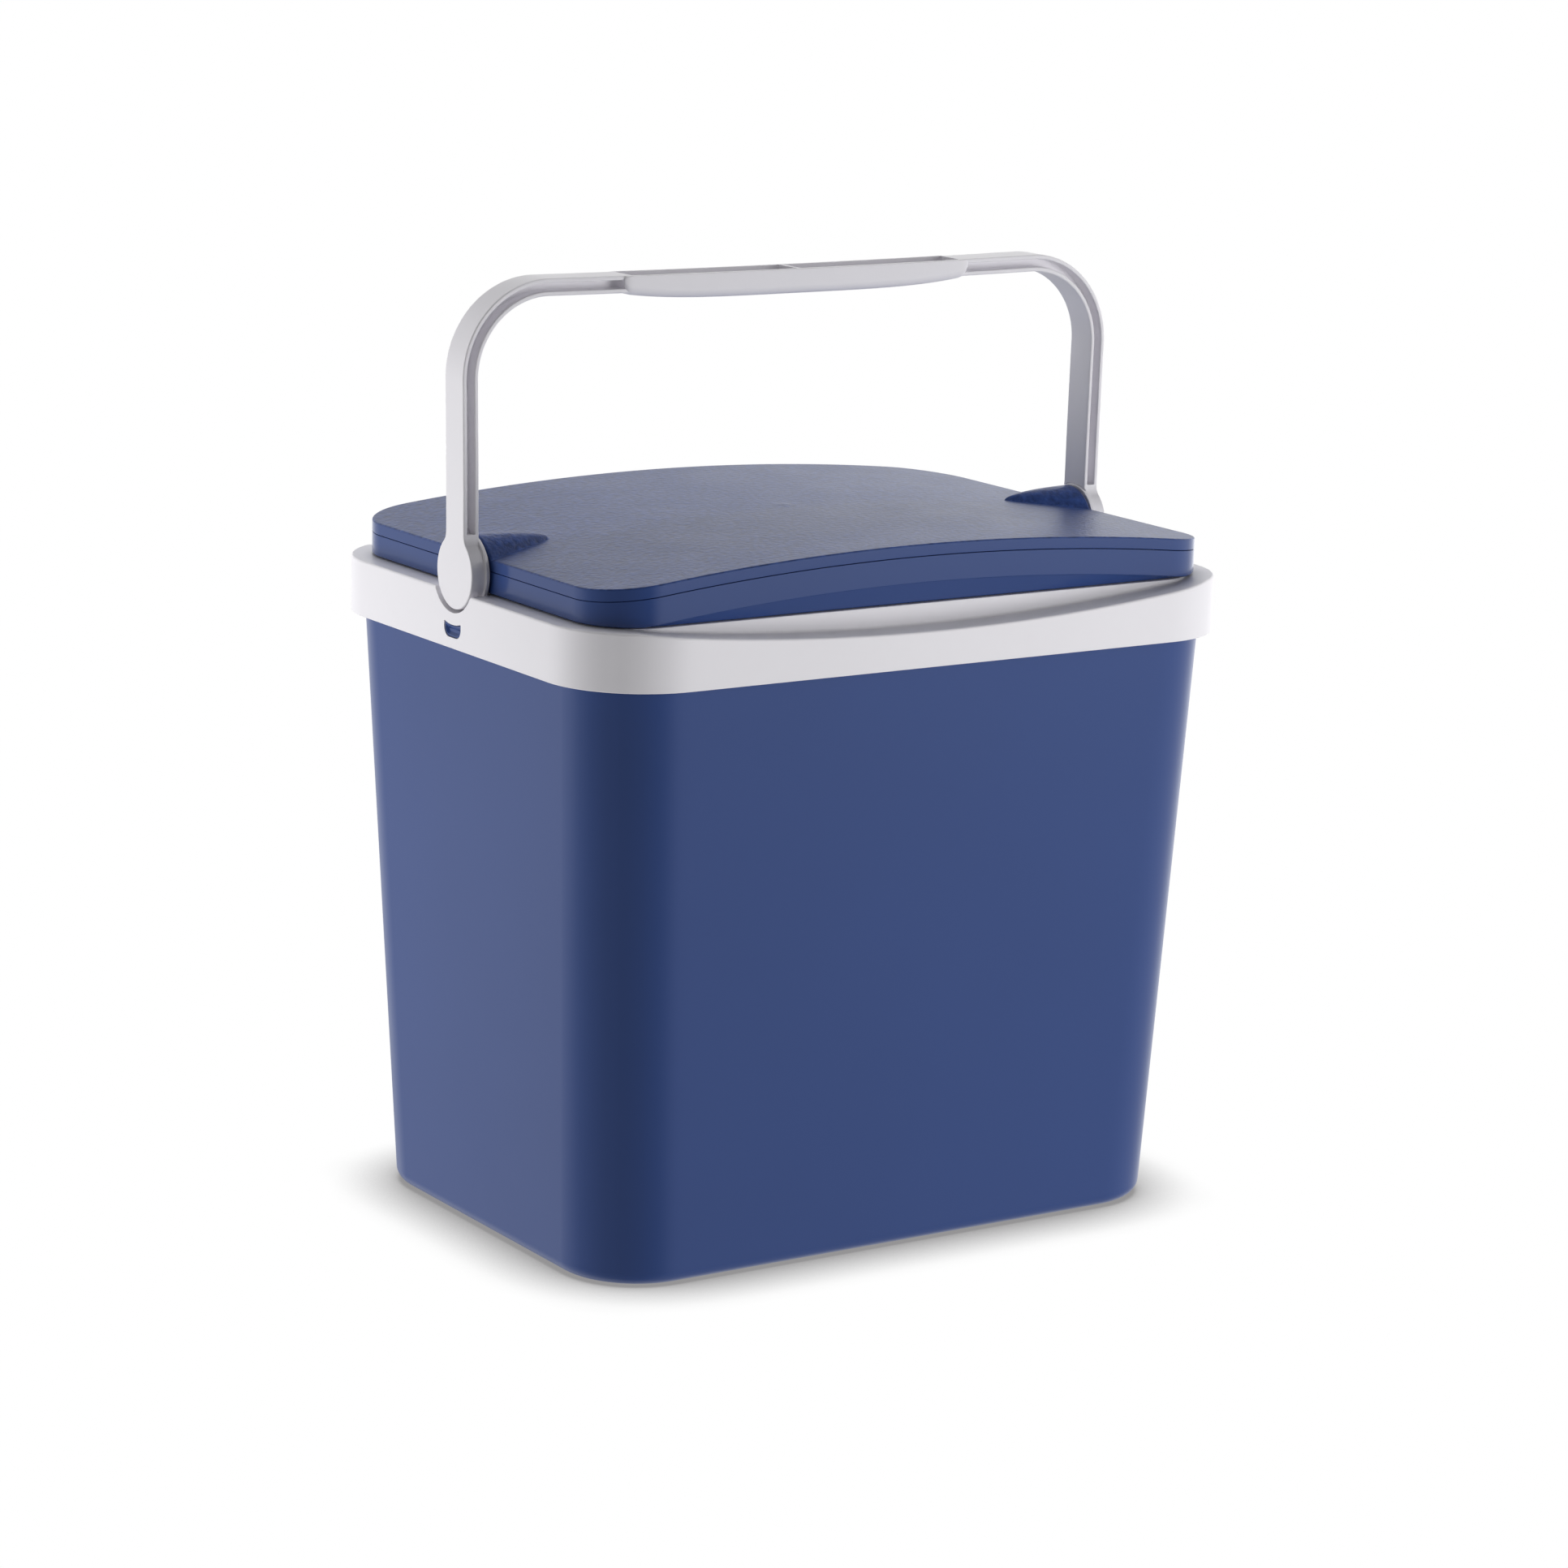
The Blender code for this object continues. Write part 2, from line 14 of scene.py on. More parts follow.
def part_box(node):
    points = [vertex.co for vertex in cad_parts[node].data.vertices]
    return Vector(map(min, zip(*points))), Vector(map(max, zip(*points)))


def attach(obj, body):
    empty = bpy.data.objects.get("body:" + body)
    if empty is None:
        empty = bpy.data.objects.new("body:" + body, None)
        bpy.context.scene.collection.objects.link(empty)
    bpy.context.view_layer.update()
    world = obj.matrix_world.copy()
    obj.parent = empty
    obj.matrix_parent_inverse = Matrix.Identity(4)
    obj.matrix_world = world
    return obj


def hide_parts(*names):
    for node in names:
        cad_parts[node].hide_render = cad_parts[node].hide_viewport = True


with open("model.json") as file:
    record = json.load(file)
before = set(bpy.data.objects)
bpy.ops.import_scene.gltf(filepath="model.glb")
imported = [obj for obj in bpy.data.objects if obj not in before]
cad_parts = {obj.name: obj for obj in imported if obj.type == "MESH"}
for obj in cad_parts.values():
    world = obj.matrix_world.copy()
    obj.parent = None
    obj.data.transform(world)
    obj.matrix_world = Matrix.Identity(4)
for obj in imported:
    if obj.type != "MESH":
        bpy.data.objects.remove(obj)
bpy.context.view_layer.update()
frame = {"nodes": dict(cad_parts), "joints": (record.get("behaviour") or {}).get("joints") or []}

MM = 0.001


def size_of(node):
    low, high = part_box(node)
    return high - low


# Places and sizes that the frame gives.
PIVOT_Z = {joint["name"]: joint for joint in frame["joints"]}["bail_pivot"]["pos_m"][2]
COLLAR_FOOT_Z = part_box("rim_collar")[0].z
TUB_TOP_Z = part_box("outer_tub")[1].z
BAIL_TOP_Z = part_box("bail_handle")[1].z
LID_SIZE = size_of("lid_cover")
COLLAR_SIZE = size_of("rim_collar")

# Plans are (width along X, depth along Y, corner radius).
COLLAR_PLAN = (COLLAR_SIZE.x, COLLAR_SIZE.y, 51.7 * MM)
LID_PLAN = (LID_SIZE.x, LID_SIZE.y, 33 * MM)
NECK_PLAN = (372 * MM, 263 * MM, 31 * MM)
PLUG_PLAN = (343 * MM, 240.6 * MM, 26 * MM)
TUB_FOOT_PLAN = (357.9 * MM, 252.2 * MM, 43.9 * MM)
TUB_SHOULDER_PLAN = (384.6 * MM, 282.2 * MM, 44 * MM)

# Tub, collar and liner.
FOOT_EDGE = 7 * MM
FOOT_RING = 22 * MM
FOOT_RECESS = 2 * MM
TUB_WALL = 2 * MM
LINER_WALL = 1.6 * MM
LINER_OUT = TUB_WALL + 15.6 * MM
LINER_FLOOR_Z = FOOT_RECESS + LINER_OUT
LINER_CORNER = 6 * MM
LINER_DROP = 0.3 * MM
FLANGE_CLEARANCE = 1 * MM
FLOOR_CORNER = 4 * MM
COLLAR_WALL = 2.5 * MM
COLLAR_EDGE = 0.35 * MM
RIM_Z = 343.2 * MM
BEAD = 1.2 * MM
NECK_EDGE = 0.5 * MM
NECK_FOOT_INSET = 1 * MM
RECESS_DROP = 11 * MM
RECESS_HALF = 173.5 * MM
LEDGE_FILLET = 1.6 * MM
LEDGE_CUTS = 5

# Lid.
LID_EDGE_Z = 361.6 * MM
LID_CROWN = 12.5 * MM
LID_EDGE = 1 * MM
LID_BAND = 6.1 * MM
LID_SEAM = 0.3 * MM
SEAM_EDGE = 0.3 * MM
LID_SKIRT_Z = 344 * MM
LID_WALL = 2.2 * MM
PLUG_Z = 322 * MM
PLUG_EDGE = 3 * MM
SEAT_Z = RIM_Z + 0.5 * MM
SKIRT_STEP = 2.6 * MM
SKIRT_LEAN = 1.2 * MM
SKIRT_EDGE = 0.5 * MM
HOOD_TIP_X = 143.3 * MM
HOOD_HALF_Y = 18.2 * MM
HOOD_RISE = 10.6 * MM
HOOD_SPREAD_POWER = 0.8
HOOD_RISE_POWER = 0.6
HOOD_FILLET = 1 * MM
HOOD_TIP_BLEND = 0.2
GATE_RISE = 0.35 * MM
GATE_RADIUS = 4.5 * MM

# Grid of the lid's top: columns across its width, rows across half its depth.
GATE_STEP, GATE_COLUMNS = 0.9 * MM, 8
PLAIN_START_X, PLAIN_END_X, PLAIN_COLUMNS = 7 * MM, HOOD_TIP_X - 2 * MM, 26
HOOD_COLUMNS = 14
CORNER_COLUMNS = 44
HOOD_END_SHARE, HOOD_ROWS = 0.252, 35
PLAIN_ROWS = 14

# Pivot lugs, the round notches for the discs, and the snap windows with their hooks.
LUG_INNER_X = 178.4 * MM
LUG_OUTER_X = 188.4 * MM
LUG_RADIUS = 15 * MM
LUG_CLEARANCE = 1.2 * MM
BORE_RADIUS = 6.4 * MM
NOTCH_RADIUS = 20.9 * MM
NOTCH_WALL = 2.3 * MM
CUP_CUTS = 40
WINDOW_HALF = 8.5 * MM
WINDOW_BOTTOM_Z = 319.2 * MM
WINDOW_TOP_RADIUS = 27.3 * MM
WINDOW_CORNER = 5 * MM
WINDOW_TIP = 0.4 * MM
WINDOW_CUTS = 16
CUTTER_END_X = 206 * MM
HOOK_TOP_Z = 326 * MM
HOOK_FACE_X = 199.6 * MM
HOOK_GAP = 0.25 * MM
HOOK_EDGE, HOOK_EDGE_MIDDLE = 0.5 * MM, 0.15 * MM
HOOK_LIP = 0.8 * MM
HOOK_DISH_LIP = 2.2 * MM
HOOK_DISH = 1.2 * MM

# Bail handle.
DISC_HALF_Y = 18.3 * MM
DISC_HALF_Z = 19.2 * MM
DISC_EDGE = 0.8 * MM
FLARE = 8 * MM
DISC_CUTS, FLARE_CUTS = 40, 10
SCOOP = 3 * MM
SCOOP_ROOT = 1 * MM
HUB_X = 189.3 * MM
HUB_RADIUS = 19.8 * MM
HUB_EDGE = 0.4 * MM
ARM_OUTER_X = 199.1 * MM
ARM_THICK = 9 * MM
ARM_HALF_Y = 9.35 * MM
ARM_SPLAY = 1.2 * MM
SPLAY_POWER = 1.5
ARM_FOOT_Z = 366 * MM
FLANGE = 2.3 * MM
WEB_HALF = 2 * MM
FLANGE_LIP, GROOVE_ROOT = 0.6 * MM, 0.7 * MM
BAIL_BEND = 49.2 * MM
BAIL_BOW = 1 * MM
ARM_CUTS, BEND_CUTS, TOP_CUTS = 16, 28, 20
PIN_RADIUS = 6 * MM
PIN_END_X = 179.5 * MM
FOOT_STEP = 1 * MM
FOOT_STEP_RADIUS = 20.5 * MM
GRIP_HALF = 107 * MM
GRIP_HALF_Y = 11 * MM
GRIP_BOTTOM_Z = 487.3 * MM
GRIP_END_RISE = 4.2 * MM
GRIP_BELLY_POWER = 4
GRIP_ROUND = 4.5 * MM
GRIP_ROUND_LIMIT = 0.7
GRIP_EDGE = 0.6 * MM
GRIP_CORNER = 5 * MM
GRIP_STATIONS = 72
GRIP_END_CLOSING = {"below": 0.8, "above": 0.3, "beside": 0.25}
GROOVE_DROP = 0.4 * MM
GROOVE_REACH = 9 * MM
GROOVE_OVERLAP = 4 * MM
POCKET_HALF = 102 * MM
POCKET_HALF_Y = 8.8 * MM
POCKET_FLOOR_Z = 491.5 * MM
RIB = 2.2 * MM

SLIVER = 0.005 * MM
SHARP_ANGLE = math.radians(35)
BEVEL_ANGLE = math.radians(40)
CORNER_CUTS = 18
SIDE_CUTS = 60


# Outlines.


def inset(plan, amount):
    width, depth, radius = plan
    return width - 2 * amount, depth - 2 * amount, max(radius - amount, 4 * MM)


def tub_plan(z, amount=0.0):
    share = z / COLLAR_FOOT_Z
    plan = [low + (high - low) * share for low, high in zip(TUB_FOOT_PLAN, TUB_SHOULDER_PLAN)]
    return inset(plan, amount)


def outline(plan):
    """Rounded rectangle, anticlockwise from the left side. Points k and -1-k share one X."""
    width, depth, radius = plan
    centre_x, centre_y = width / 2 - radius, depth / 2 - radius
    front = []
    for cut in range(CORNER_CUTS + 1):
        turn = math.pi * (1 + cut / (2 * CORNER_CUTS))
        front.append((-centre_x + radius * math.cos(turn), -centre_y + radius * math.sin(turn)))
    for cut in range(1, SIDE_CUTS):
        front.append((centre_x * (2 * cut / SIDE_CUTS - 1), -depth / 2))
    for cut in range(CORNER_CUTS + 1):
        turn = math.pi * (1.5 + cut / (2 * CORNER_CUTS))
        front.append((centre_x + radius * math.cos(turn), -centre_y + radius * math.sin(turn)))
    return front + [(x, -y) for x, y in reversed(front)]


def spaced(start, end, cuts):
    """Evenly spaced values from start up to the one before end."""
    return [start + (end - start) * k / cuts for k in range(cuts)]


def ring(plan, height):
    """Outline at a height, which is a number or a function of X."""
    level = height if callable(height) else lambda x: height
    return [(x, y, level(x)) for x, y in outline(plan)]


def quarter(radius, cuts=4):
    """(inward, down) steps over a rounded edge, from its side face to its top face."""
    turns = [math.pi / 2 * cut / cuts for cut in range(cuts + 1)]
    return [(radius * (1 - math.cos(turn)), radius * (1 - math.sin(turn))) for turn in turns]


def rounded(corners, cuts=4):
    """Closed outline through corners (u, v, radius), each one rounded off by its radius."""
    points = []
    for k, (u, v, radius) in enumerate(corners):
        here = Vector((u, v))
        back = (Vector(corners[k - 1][:2]) - here).normalized()
        ahead = (Vector(corners[(k + 1) % len(corners)][:2]) - here).normalized()
        if radius == 0:
            points.append((u, v))
            continue
        half = back.angle(ahead) / 2
        centre = here + (back + ahead).normalized() * radius / math.sin(half)
        start = here + back * radius / math.tan(half) - centre
        end = here + ahead * radius / math.tan(half) - centre
        first = math.atan2(start.y, start.x)
        sweep = (math.atan2(end.y, end.x) - first + math.pi) % (2 * math.pi) - math.pi
        for cut in range(cuts + 1):
            turn = first + sweep * cut / cuts
            points.append((centre.x + radius * math.cos(turn), centre.y + radius * math.sin(turn)))
    return points


def oval(half_y, half_z, cuts=96):
    turns = [2 * math.pi * k / cuts for k in range(cuts)]
    return [(half_y * math.cos(turn), PIVOT_Z + half_z * math.sin(turn)) for turn in turns]


def arch(radius, foot_z, cuts=48):
    """Upright sides from foot_z with a round head about the pivot."""
    head = [math.pi * k / cuts for k in range(cuts + 1)]
    arc = [(radius * math.cos(turn), PIVOT_Z + radius * math.sin(turn)) for turn in head]
    return [(radius, foot_z)] + arc + [(-radius, foot_z)]


# Heights that change along X.


def lid_top(x):
    return LID_EDGE_Z + LID_CROWN * (1 - (x / (LID_PLAN[0] / 2)) ** 2)


def below_lid_top(depth):
    return lambda x: lid_top(x) - depth


def ledge(x):
    """Top of the collar's outer ledge, which dips in the middle of each wide side."""
    return min(RIM_Z, RIM_Z - RECESS_DROP * (1 - (x / RECESS_HALF) ** 2))


def ledge_shifted(rise, ceiling=RIM_Z):
    return lambda x: min(ceiling, ledge(x) + rise)


def skirt_bottom(x):
    """Lower edge of the lid's skirt, which arches up opposite the collar's dip."""
    return max(LID_SKIRT_Z, RIM_Z + RECESS_DROP * (1 - (x / RECESS_HALF) ** 2))


def hood_top(x, y):
    """Height of a hood's half-cone over the lid, or None beside it."""
    share = (abs(x) - HOOD_TIP_X) / (LID_PLAN[0] / 2 - HOOD_TIP_X)
    if share <= 0:
        return None
    half, rise = HOOD_HALF_Y * share**HOOD_SPREAD_POWER, HOOD_RISE * share**HOOD_RISE_POWER
    radius = (half * half + rise * rise) / (2 * rise)
    if abs(y) >= radius:
        return None
    return lid_top(x) + rise - radius + math.sqrt(radius * radius - y * y)


def cover_top(x, y):
    """Crowned top of the lid with its two hoods, blended by a small fillet, and the gate mark."""
    plain = lid_top(x) + GATE_RISE * math.exp(-(x * x + y * y) / GATE_RADIUS**2)
    hood = hood_top(x, y)
    if hood is None:
        return plain
    blend = min(HOOD_FILLET, (abs(x) - HOOD_TIP_X) * HOOD_TIP_BLEND)
    overlap = max(blend - abs(hood - plain), 0.0)
    return max(hood, plain) + overlap * overlap / (4 * blend)


# Meshes.


def mesh_object(name, points, faces):
    mesh = bpy.data.meshes.new(name)
    mesh.from_pydata(points, [], faces)
    work = bmesh.new()
    work.from_mesh(mesh)
    bmesh.ops.recalc_face_normals(work, faces=work.faces)
    work.to_mesh(mesh)
    work.free()
    thing = bpy.data.objects.new(name, mesh)
    bpy.context.scene.collection.objects.link(thing)
    return thing


def skin(name, rings, looped=False):
    """Closed body through rings of equal length. A ladder of quads caps each end."""
    count = len(rings[0])
    points = [point for one in rings for point in one]
    faces = []
    for low in range(len(rings) if looped else len(rings) - 1):
        high = (low + 1) % len(rings)
        for k in range(count):
            after = (k + 1) % count
            faces.append((low * count + k, low * count + after, high * count + after, high * count + k))
    if not looped:
        for start in (0, (len(rings) - 1) * count):
            for k in range(count // 2 - 1):
                faces.append((start + k, start + k + 1, start + count - 2 - k, start + count - 1 - k))
    return mesh_object(name, points, faces)


def loft(name, sections):
    """Closed body through sections of equal length, with a flat cap at each end."""
    count = len(sections[0])
    points = [point for section in sections for point in section]
    faces = []
    for low in range(0, len(points) - count, count):
        for k in range(count):
            after = (k + 1) % count
            faces.append((low + k, low + after, low + count + after, low + count + k))
    faces += [tuple(range(count)), tuple(range(len(points) - count, len(points)))]
    return mesh_object(name, points, faces)


def prism(name, profile, start_x, end_x):
    """A profile of (Y, Z) points, extruded along X."""
    return loft(name, [[(x, y, z) for y, z in profile] for x in (start_x, end_x)])


def block(name, low, high):
    profile = [(low[1], low[2]), (high[1], low[2]), (high[1], high[2]), (low[1], high[2])]
    return prism(name, profile, low[0], high[0])


def combine(target, other, operation):
    modifier = target.modifiers.new(other.name, "BOOLEAN")
    modifier.operation = operation
    modifier.object = other
    modifier.solver = "EXACT"


def settle(thing):
    """Applies the modifiers, removes the shapes that they used and the slivers that they leave."""
    used = [modifier.object for modifier in thing.modifiers if modifier.type == "BOOLEAN"]
    evaluated = thing.evaluated_get(bpy.context.evaluated_depsgraph_get())
    thing.data = bpy.data.meshes.new_from_object(evaluated)
    thing.modifiers.clear()
    for other in used:
        bpy.data.objects.remove(other, do_unlink=True)
    work = bmesh.new()
    work.from_mesh(thing.data)
    bmesh.ops.dissolve_degenerate(work, dist=SLIVER, edges=work.edges)
    work.to_mesh(thing.data)
    work.free()


def finish_piece(thing, body, node, material, edge=0.0):
    """Rounds the sharp edges, smooths the shading and hangs the piece on its body."""
    if thing.modifiers:
        settle(thing)
    thing.data.name = thing.name
    if edge:
        bevel = thing.modifiers.new("edges", "BEVEL")
        bevel.width = edge
        bevel.segments = 2
        bevel.limit_method = "ANGLE"
        bevel.angle_limit = BEVEL_ANGLE
        bevel.use_clamp_overlap = False
        settle(thing)
    thing.data.shade_smooth()
    thing.data.set_sharp_from_angle(angle=SHARP_ANGLE)
    weighted = thing.modifiers.new("shading", "WEIGHTED_NORMAL")
    weighted.keep_sharp = True
    thing.data.materials.clear()
    thing.data.materials.append(material)
    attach(thing, body)
    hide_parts(node)


# Pieces of the chest.


def tub_shell():
    foot_inner = FOOT_RING + FOOT_EDGE
    rings = [
        ring(tub_plan(0, foot_inner + FOOT_RECESS), FOOT_RECESS),
        ring(tub_plan(0, foot_inner), 0.0),
    ]
    for inward, up in reversed(quarter(FOOT_EDGE, cuts=8)):
        rings.append(ring(tub_plan(up, inward), up))
    rings += [
        ring(tub_plan(TUB_TOP_Z), TUB_TOP_Z),
        ring(tub_plan(TUB_TOP_Z, TUB_WALL), TUB_TOP_Z),
        ring(tub_plan(2 * FOOT_EDGE, TUB_WALL), 2 * FOOT_EDGE),
        ring(tub_plan(FOOT_EDGE, TUB_WALL + FLOOR_CORNER), FOOT_RECESS + TUB_WALL),
    ]
    tub = skin("tub_shell", rings)
    for side in (-1, 1):
        combine(tub, hook(f"hook_{side}", side), "UNION")
    return tub


def hook(name, side):
    """Snap hook that fills the collar's window, with a rounded rim and a dished face."""
    wall = tub_plan(HOOK_TOP_Z)[0] / 2
    steps = [
        (wall - TUB_WALL / 2, HOOK_GAP),
        (HOOK_FACE_X - HOOK_EDGE, HOOK_GAP),
        (HOOK_FACE_X - HOOK_EDGE_MIDDLE, HOOK_GAP + HOOK_EDGE_MIDDLE),
        (HOOK_FACE_X, HOOK_GAP + HOOK_EDGE),
        (HOOK_FACE_X, HOOK_GAP + HOOK_LIP),
        (HOOK_FACE_X - HOOK_DISH, HOOK_GAP + HOOK_DISH_LIP),
    ]
    return loft(name, [[(side * x, y, z) for y, z in window_profile(amount)] for x, amount in steps])


def liner_shell():
    inside = LINER_OUT + LINER_WALL
    flange_top = RIM_Z - COLLAR_WALL - LINER_DROP
    flange = inset(NECK_PLAN, COLLAR_WALL + FLANGE_CLEARANCE)
    rings = []
    for inward, up in reversed(quarter(LINER_CORNER, cuts=6)):
        rings.append(ring(tub_plan(LINER_FLOOR_Z + up, LINER_OUT + inward), LINER_FLOOR_Z + up))
    rings += [
        ring(tub_plan(flange_top, LINER_OUT), flange_top - LINER_WALL),
        ring(flange, flange_top - LINER_WALL),
        ring(flange, flange_top),
    ]
    for inward, down in reversed(quarter(BEAD)):
        rings.append(ring(tub_plan(flange_top, inside - inward), flange_top - down))
    floor = LINER_FLOOR_Z + LINER_WALL
    for inward, up in quarter(LINER_CORNER, cuts=6):
        rings.append(ring(tub_plan(floor + up, inside + inward), floor + up))
    return skin("liner_shell", rings)


def collar_shell():
    throat = tub_plan(RIM_Z, LINER_OUT + LINER_WALL)
    under = RIM_Z - COLLAR_WALL
    rings = []
    for inward, up in reversed(quarter(BEAD / 2, cuts=3)):
        rings.append(ring(inset(COLLAR_PLAN, inward), COLLAR_FOOT_Z + up))
    for inward, down in quarter(BEAD):
        rings.append(ring(inset(COLLAR_PLAN, inward), ledge_shifted(-down)))
    for cut in range(LEDGE_CUTS + 1):
        turn = math.pi / 2 * cut / LEDGE_CUTS
        outward, rise = LEDGE_FILLET * (1 - math.sin(turn)), LEDGE_FILLET * (1 - math.cos(turn))
        rings.append(ring(inset(NECK_PLAN, -outward), neck_level(rise)))
    for inward, down in quarter(NECK_EDGE, cuts=3):
        rings.append(ring(inset(NECK_PLAN, inward), lambda x, down=down: max(RIM_Z - down, ledge(x))))
    for inward, down in reversed(quarter(NECK_EDGE, cuts=3)):
        rings.append(ring(inset(throat, -inward), RIM_Z - down))
    rings += [
        ring(throat, under),
        ring(inset(NECK_PLAN, COLLAR_WALL), under),
        ring(inset(NECK_PLAN, NECK_FOOT_INSET), ledge_shifted(-COLLAR_WALL, under)),
        ring(inset(COLLAR_PLAN, COLLAR_WALL), ledge_shifted(-COLLAR_WALL, under)),
        ring(inset(COLLAR_PLAN, COLLAR_WALL), COLLAR_FOOT_Z),
    ]
    collar = skin("collar_shell", rings, looped=True)
    for side, label in ((-1, "left"), (1, "right")):
        add_pivot_seat(collar, side, label)
    return collar


def neck_level(rise):
    """Height up the fillet between ledge and neck, flat where the ledge is level with the rim."""
    return lambda x: min(ledge(x) + rise, max(RIM_Z - NECK_EDGE, ledge(x)))


def add_pivot_seat(collar, side, label):
    """Lug and bore for the pin, the round notch for the disc, and the snap window below."""
    foot = RIM_Z - COLLAR_WALL / 2
    lug = prism(f"lug_{label}", arch(LUG_RADIUS, foot), LUG_INNER_X * side, LUG_OUTER_X * side)
    combine(collar, lug, "UNION")
    cup_radius = NOTCH_RADIUS + NOTCH_WALL
    lean = math.asin((PIVOT_Z - foot) / cup_radius)
    turns = [math.pi + lean + (math.pi - 2 * lean) * k / CUP_CUTS for k in range(CUP_CUTS + 1)]
    rim = [(cup_radius * math.cos(turn), PIVOT_Z + cup_radius * math.sin(turn)) for turn in turns]
    back, front = LUG_OUTER_X - COLLAR_WALL, COLLAR_PLAN[0] / 2 - COLLAR_WALL / 2
    combine(collar, prism(f"cup_{label}", rim, back * side, front * side), "UNION")
    cuts = {
        "notch": (oval(NOTCH_RADIUS, NOTCH_RADIUS, cuts=128), LUG_OUTER_X),
        "bore": (oval(BORE_RADIUS, BORE_RADIUS, cuts=48), LUG_INNER_X - LUG_CLEARANCE),
        "window": (window_profile(), COLLAR_PLAN[0] / 2 - 2 * COLLAR_WALL),
    }
    for kind, (profile, start_x) in cuts.items():
        cutter = prism(f"{kind}_{label}", profile, start_x * side, CUTTER_END_X * side)
        combine(collar, cutter, "DIFFERENCE")


def window_profile(amount=0.0):
    """D shape moved inward by an amount: a top edge round the pivot and rounded lower corners."""
    half, radius = WINDOW_HALF - amount, WINDOW_TOP_RADIUS + amount
    bottom, corner = WINDOW_BOTTOM_Z + amount, WINDOW_CORNER - amount
    reach = math.asin(half / radius)
    top = PIVOT_Z - radius * math.cos(reach)
    upper = []
    for cut in range(1, WINDOW_CUTS):
        turn = -math.pi / 2 - reach + 2 * reach * cut / WINDOW_CUTS
        upper.append((radius * math.cos(turn), PIVOT_Z + radius * math.sin(turn), 0))
    lower = [(half, bottom, corner), (-half, bottom, corner)]
    return rounded([(-half, top, WINDOW_TIP)] + upper + [(half, top, WINDOW_TIP)] + lower, cuts=8)


# Pieces of the lid.


def lug_slot(name, side):
    """Cutter for the slot that lets the lid drop over a lug."""
    profile = arch(LUG_RADIUS + LUG_CLEARANCE, RIM_Z - LUG_CLEARANCE)
    return prism(name, profile, (LUG_INNER_X - LUG_CLEARANCE) * side, CUTTER_END_X * side)


def lid_columns(amount):
    """X of each grid column, moved inward by an amount. The plain top has the fewest columns."""
    centre_x = LID_PLAN[0] / 2 - LID_PLAN[2]
    radius = LID_PLAN[2] - amount
    right = [GATE_STEP * k for k in range(GATE_COLUMNS)]
    right += spaced(PLAIN_START_X, PLAIN_END_X, PLAIN_COLUMNS)[1:]
    right += spaced(PLAIN_END_X, centre_x, HOOD_COLUMNS)
    turns = [math.pi / 2 * k / CORNER_COLUMNS for k in range(CORNER_COLUMNS + 1)]
    right += [centre_x + radius * math.sin(turn) for turn in turns]
    return [-x for x in reversed(right[1:])] + right


def lid_rows():
    """Share of the half depth for each grid row, closest together across the hoods."""
    rear = spaced(0.0, HOOD_END_SHARE, HOOD_ROWS) + spaced(HOOD_END_SHARE, 1.0, PLAIN_ROWS) + [1.0]
    return [-share for share in reversed(rear[1:])] + rear


def half_depth(x, amount):
    """Half the lid's depth at X, inside its rounded corners."""
    radius = LID_PLAN[2] - amount
    past = max(abs(x) - (LID_PLAN[0] / 2 - LID_PLAN[2]), 0.0)
    return LID_PLAN[1] / 2 - LID_PLAN[2] + math.sqrt(max(radius * radius - past * past, 0.0))


def lid_sheet(amount, depth):
    """Grid of points on the lid's top surface, moved inward and down, by column and then row."""
    sheet = []
    for x in lid_columns(amount):
        reach = half_depth(x, amount)
        sheet.append([(x, share * reach, cover_top(x, share * reach) - depth) for share in lid_rows()])
    return sheet


def sheet_border(columns, rows):
    """(column, row) of each border point of a grid, anticlockwise."""
    border = [(k, 0) for k in range(columns)]
    border += [(columns - 1, k) for k in range(1, rows)]
    border += [(k, rows - 1) for k in range(columns - 2, -1, -1)]
    return border + [(0, k) for k in range(rows - 2, 0, -1)]


def cover_shell():
    """Crowned cover with its hoods: a top sheet, a rounded edge, the band and the underside."""
    top, underside = lid_sheet(LID_EDGE, 0.0), lid_sheet(LID_WALL, LID_WALL)
    columns, rows = len(top), len(top[0])
    border = sheet_border(columns, rows)
    loops = []
    for inward, down in reversed(quarter(LID_EDGE)[:-1]):
        moved = lid_sheet(inward, 0.0)
        loops.append([moved[c][r][:2] + (top[c][r][2] - down,) for c, r in border])
    side = lid_sheet(0.0, 0.0)
    for inward, up in quarter(SEAM_EDGE, cuts=2):
        moved = lid_sheet(inward, 0.0)
        loops.append([moved[c][r][:2] + (lid_top(side[c][r][0]) - LID_BAND + up,) for c, r in border])
    loops.append([underside[c][r][:2] + (lid_top(side[c][r][0]) - LID_BAND,) for c, r in border])
    points = [point for sheet in (top, underside) for column in sheet for point in column]
    faces = []
    for start in (0, columns * rows):
        for c in range(columns - 1):
            for r in range(rows - 1):
                here = start + c * rows + r
                faces.append((here, here + 1, here + rows + 1, here + rows))
    strips = [[c * rows + r for c, r in border]]
    for loop in loops:
        strips.append(range(len(points), len(points) + len(loop)))
        points += loop
    strips.append([columns * rows + c * rows + r for c, r in border])
    for upper, lower in zip(strips, strips[1:]):
        for k in range(len(border)):
            after = (k + 1) % len(border)
            faces.append((upper[k], upper[after], lower[after], lower[k]))
    cover = mesh_object("lid_cover_shell", points, faces)
    for side_x, label in ((-1, "left"), (1, "right")):
        combine(cover, lug_slot(f"cover_slot_{label}", side_x), "DIFFERENCE")
    return cover


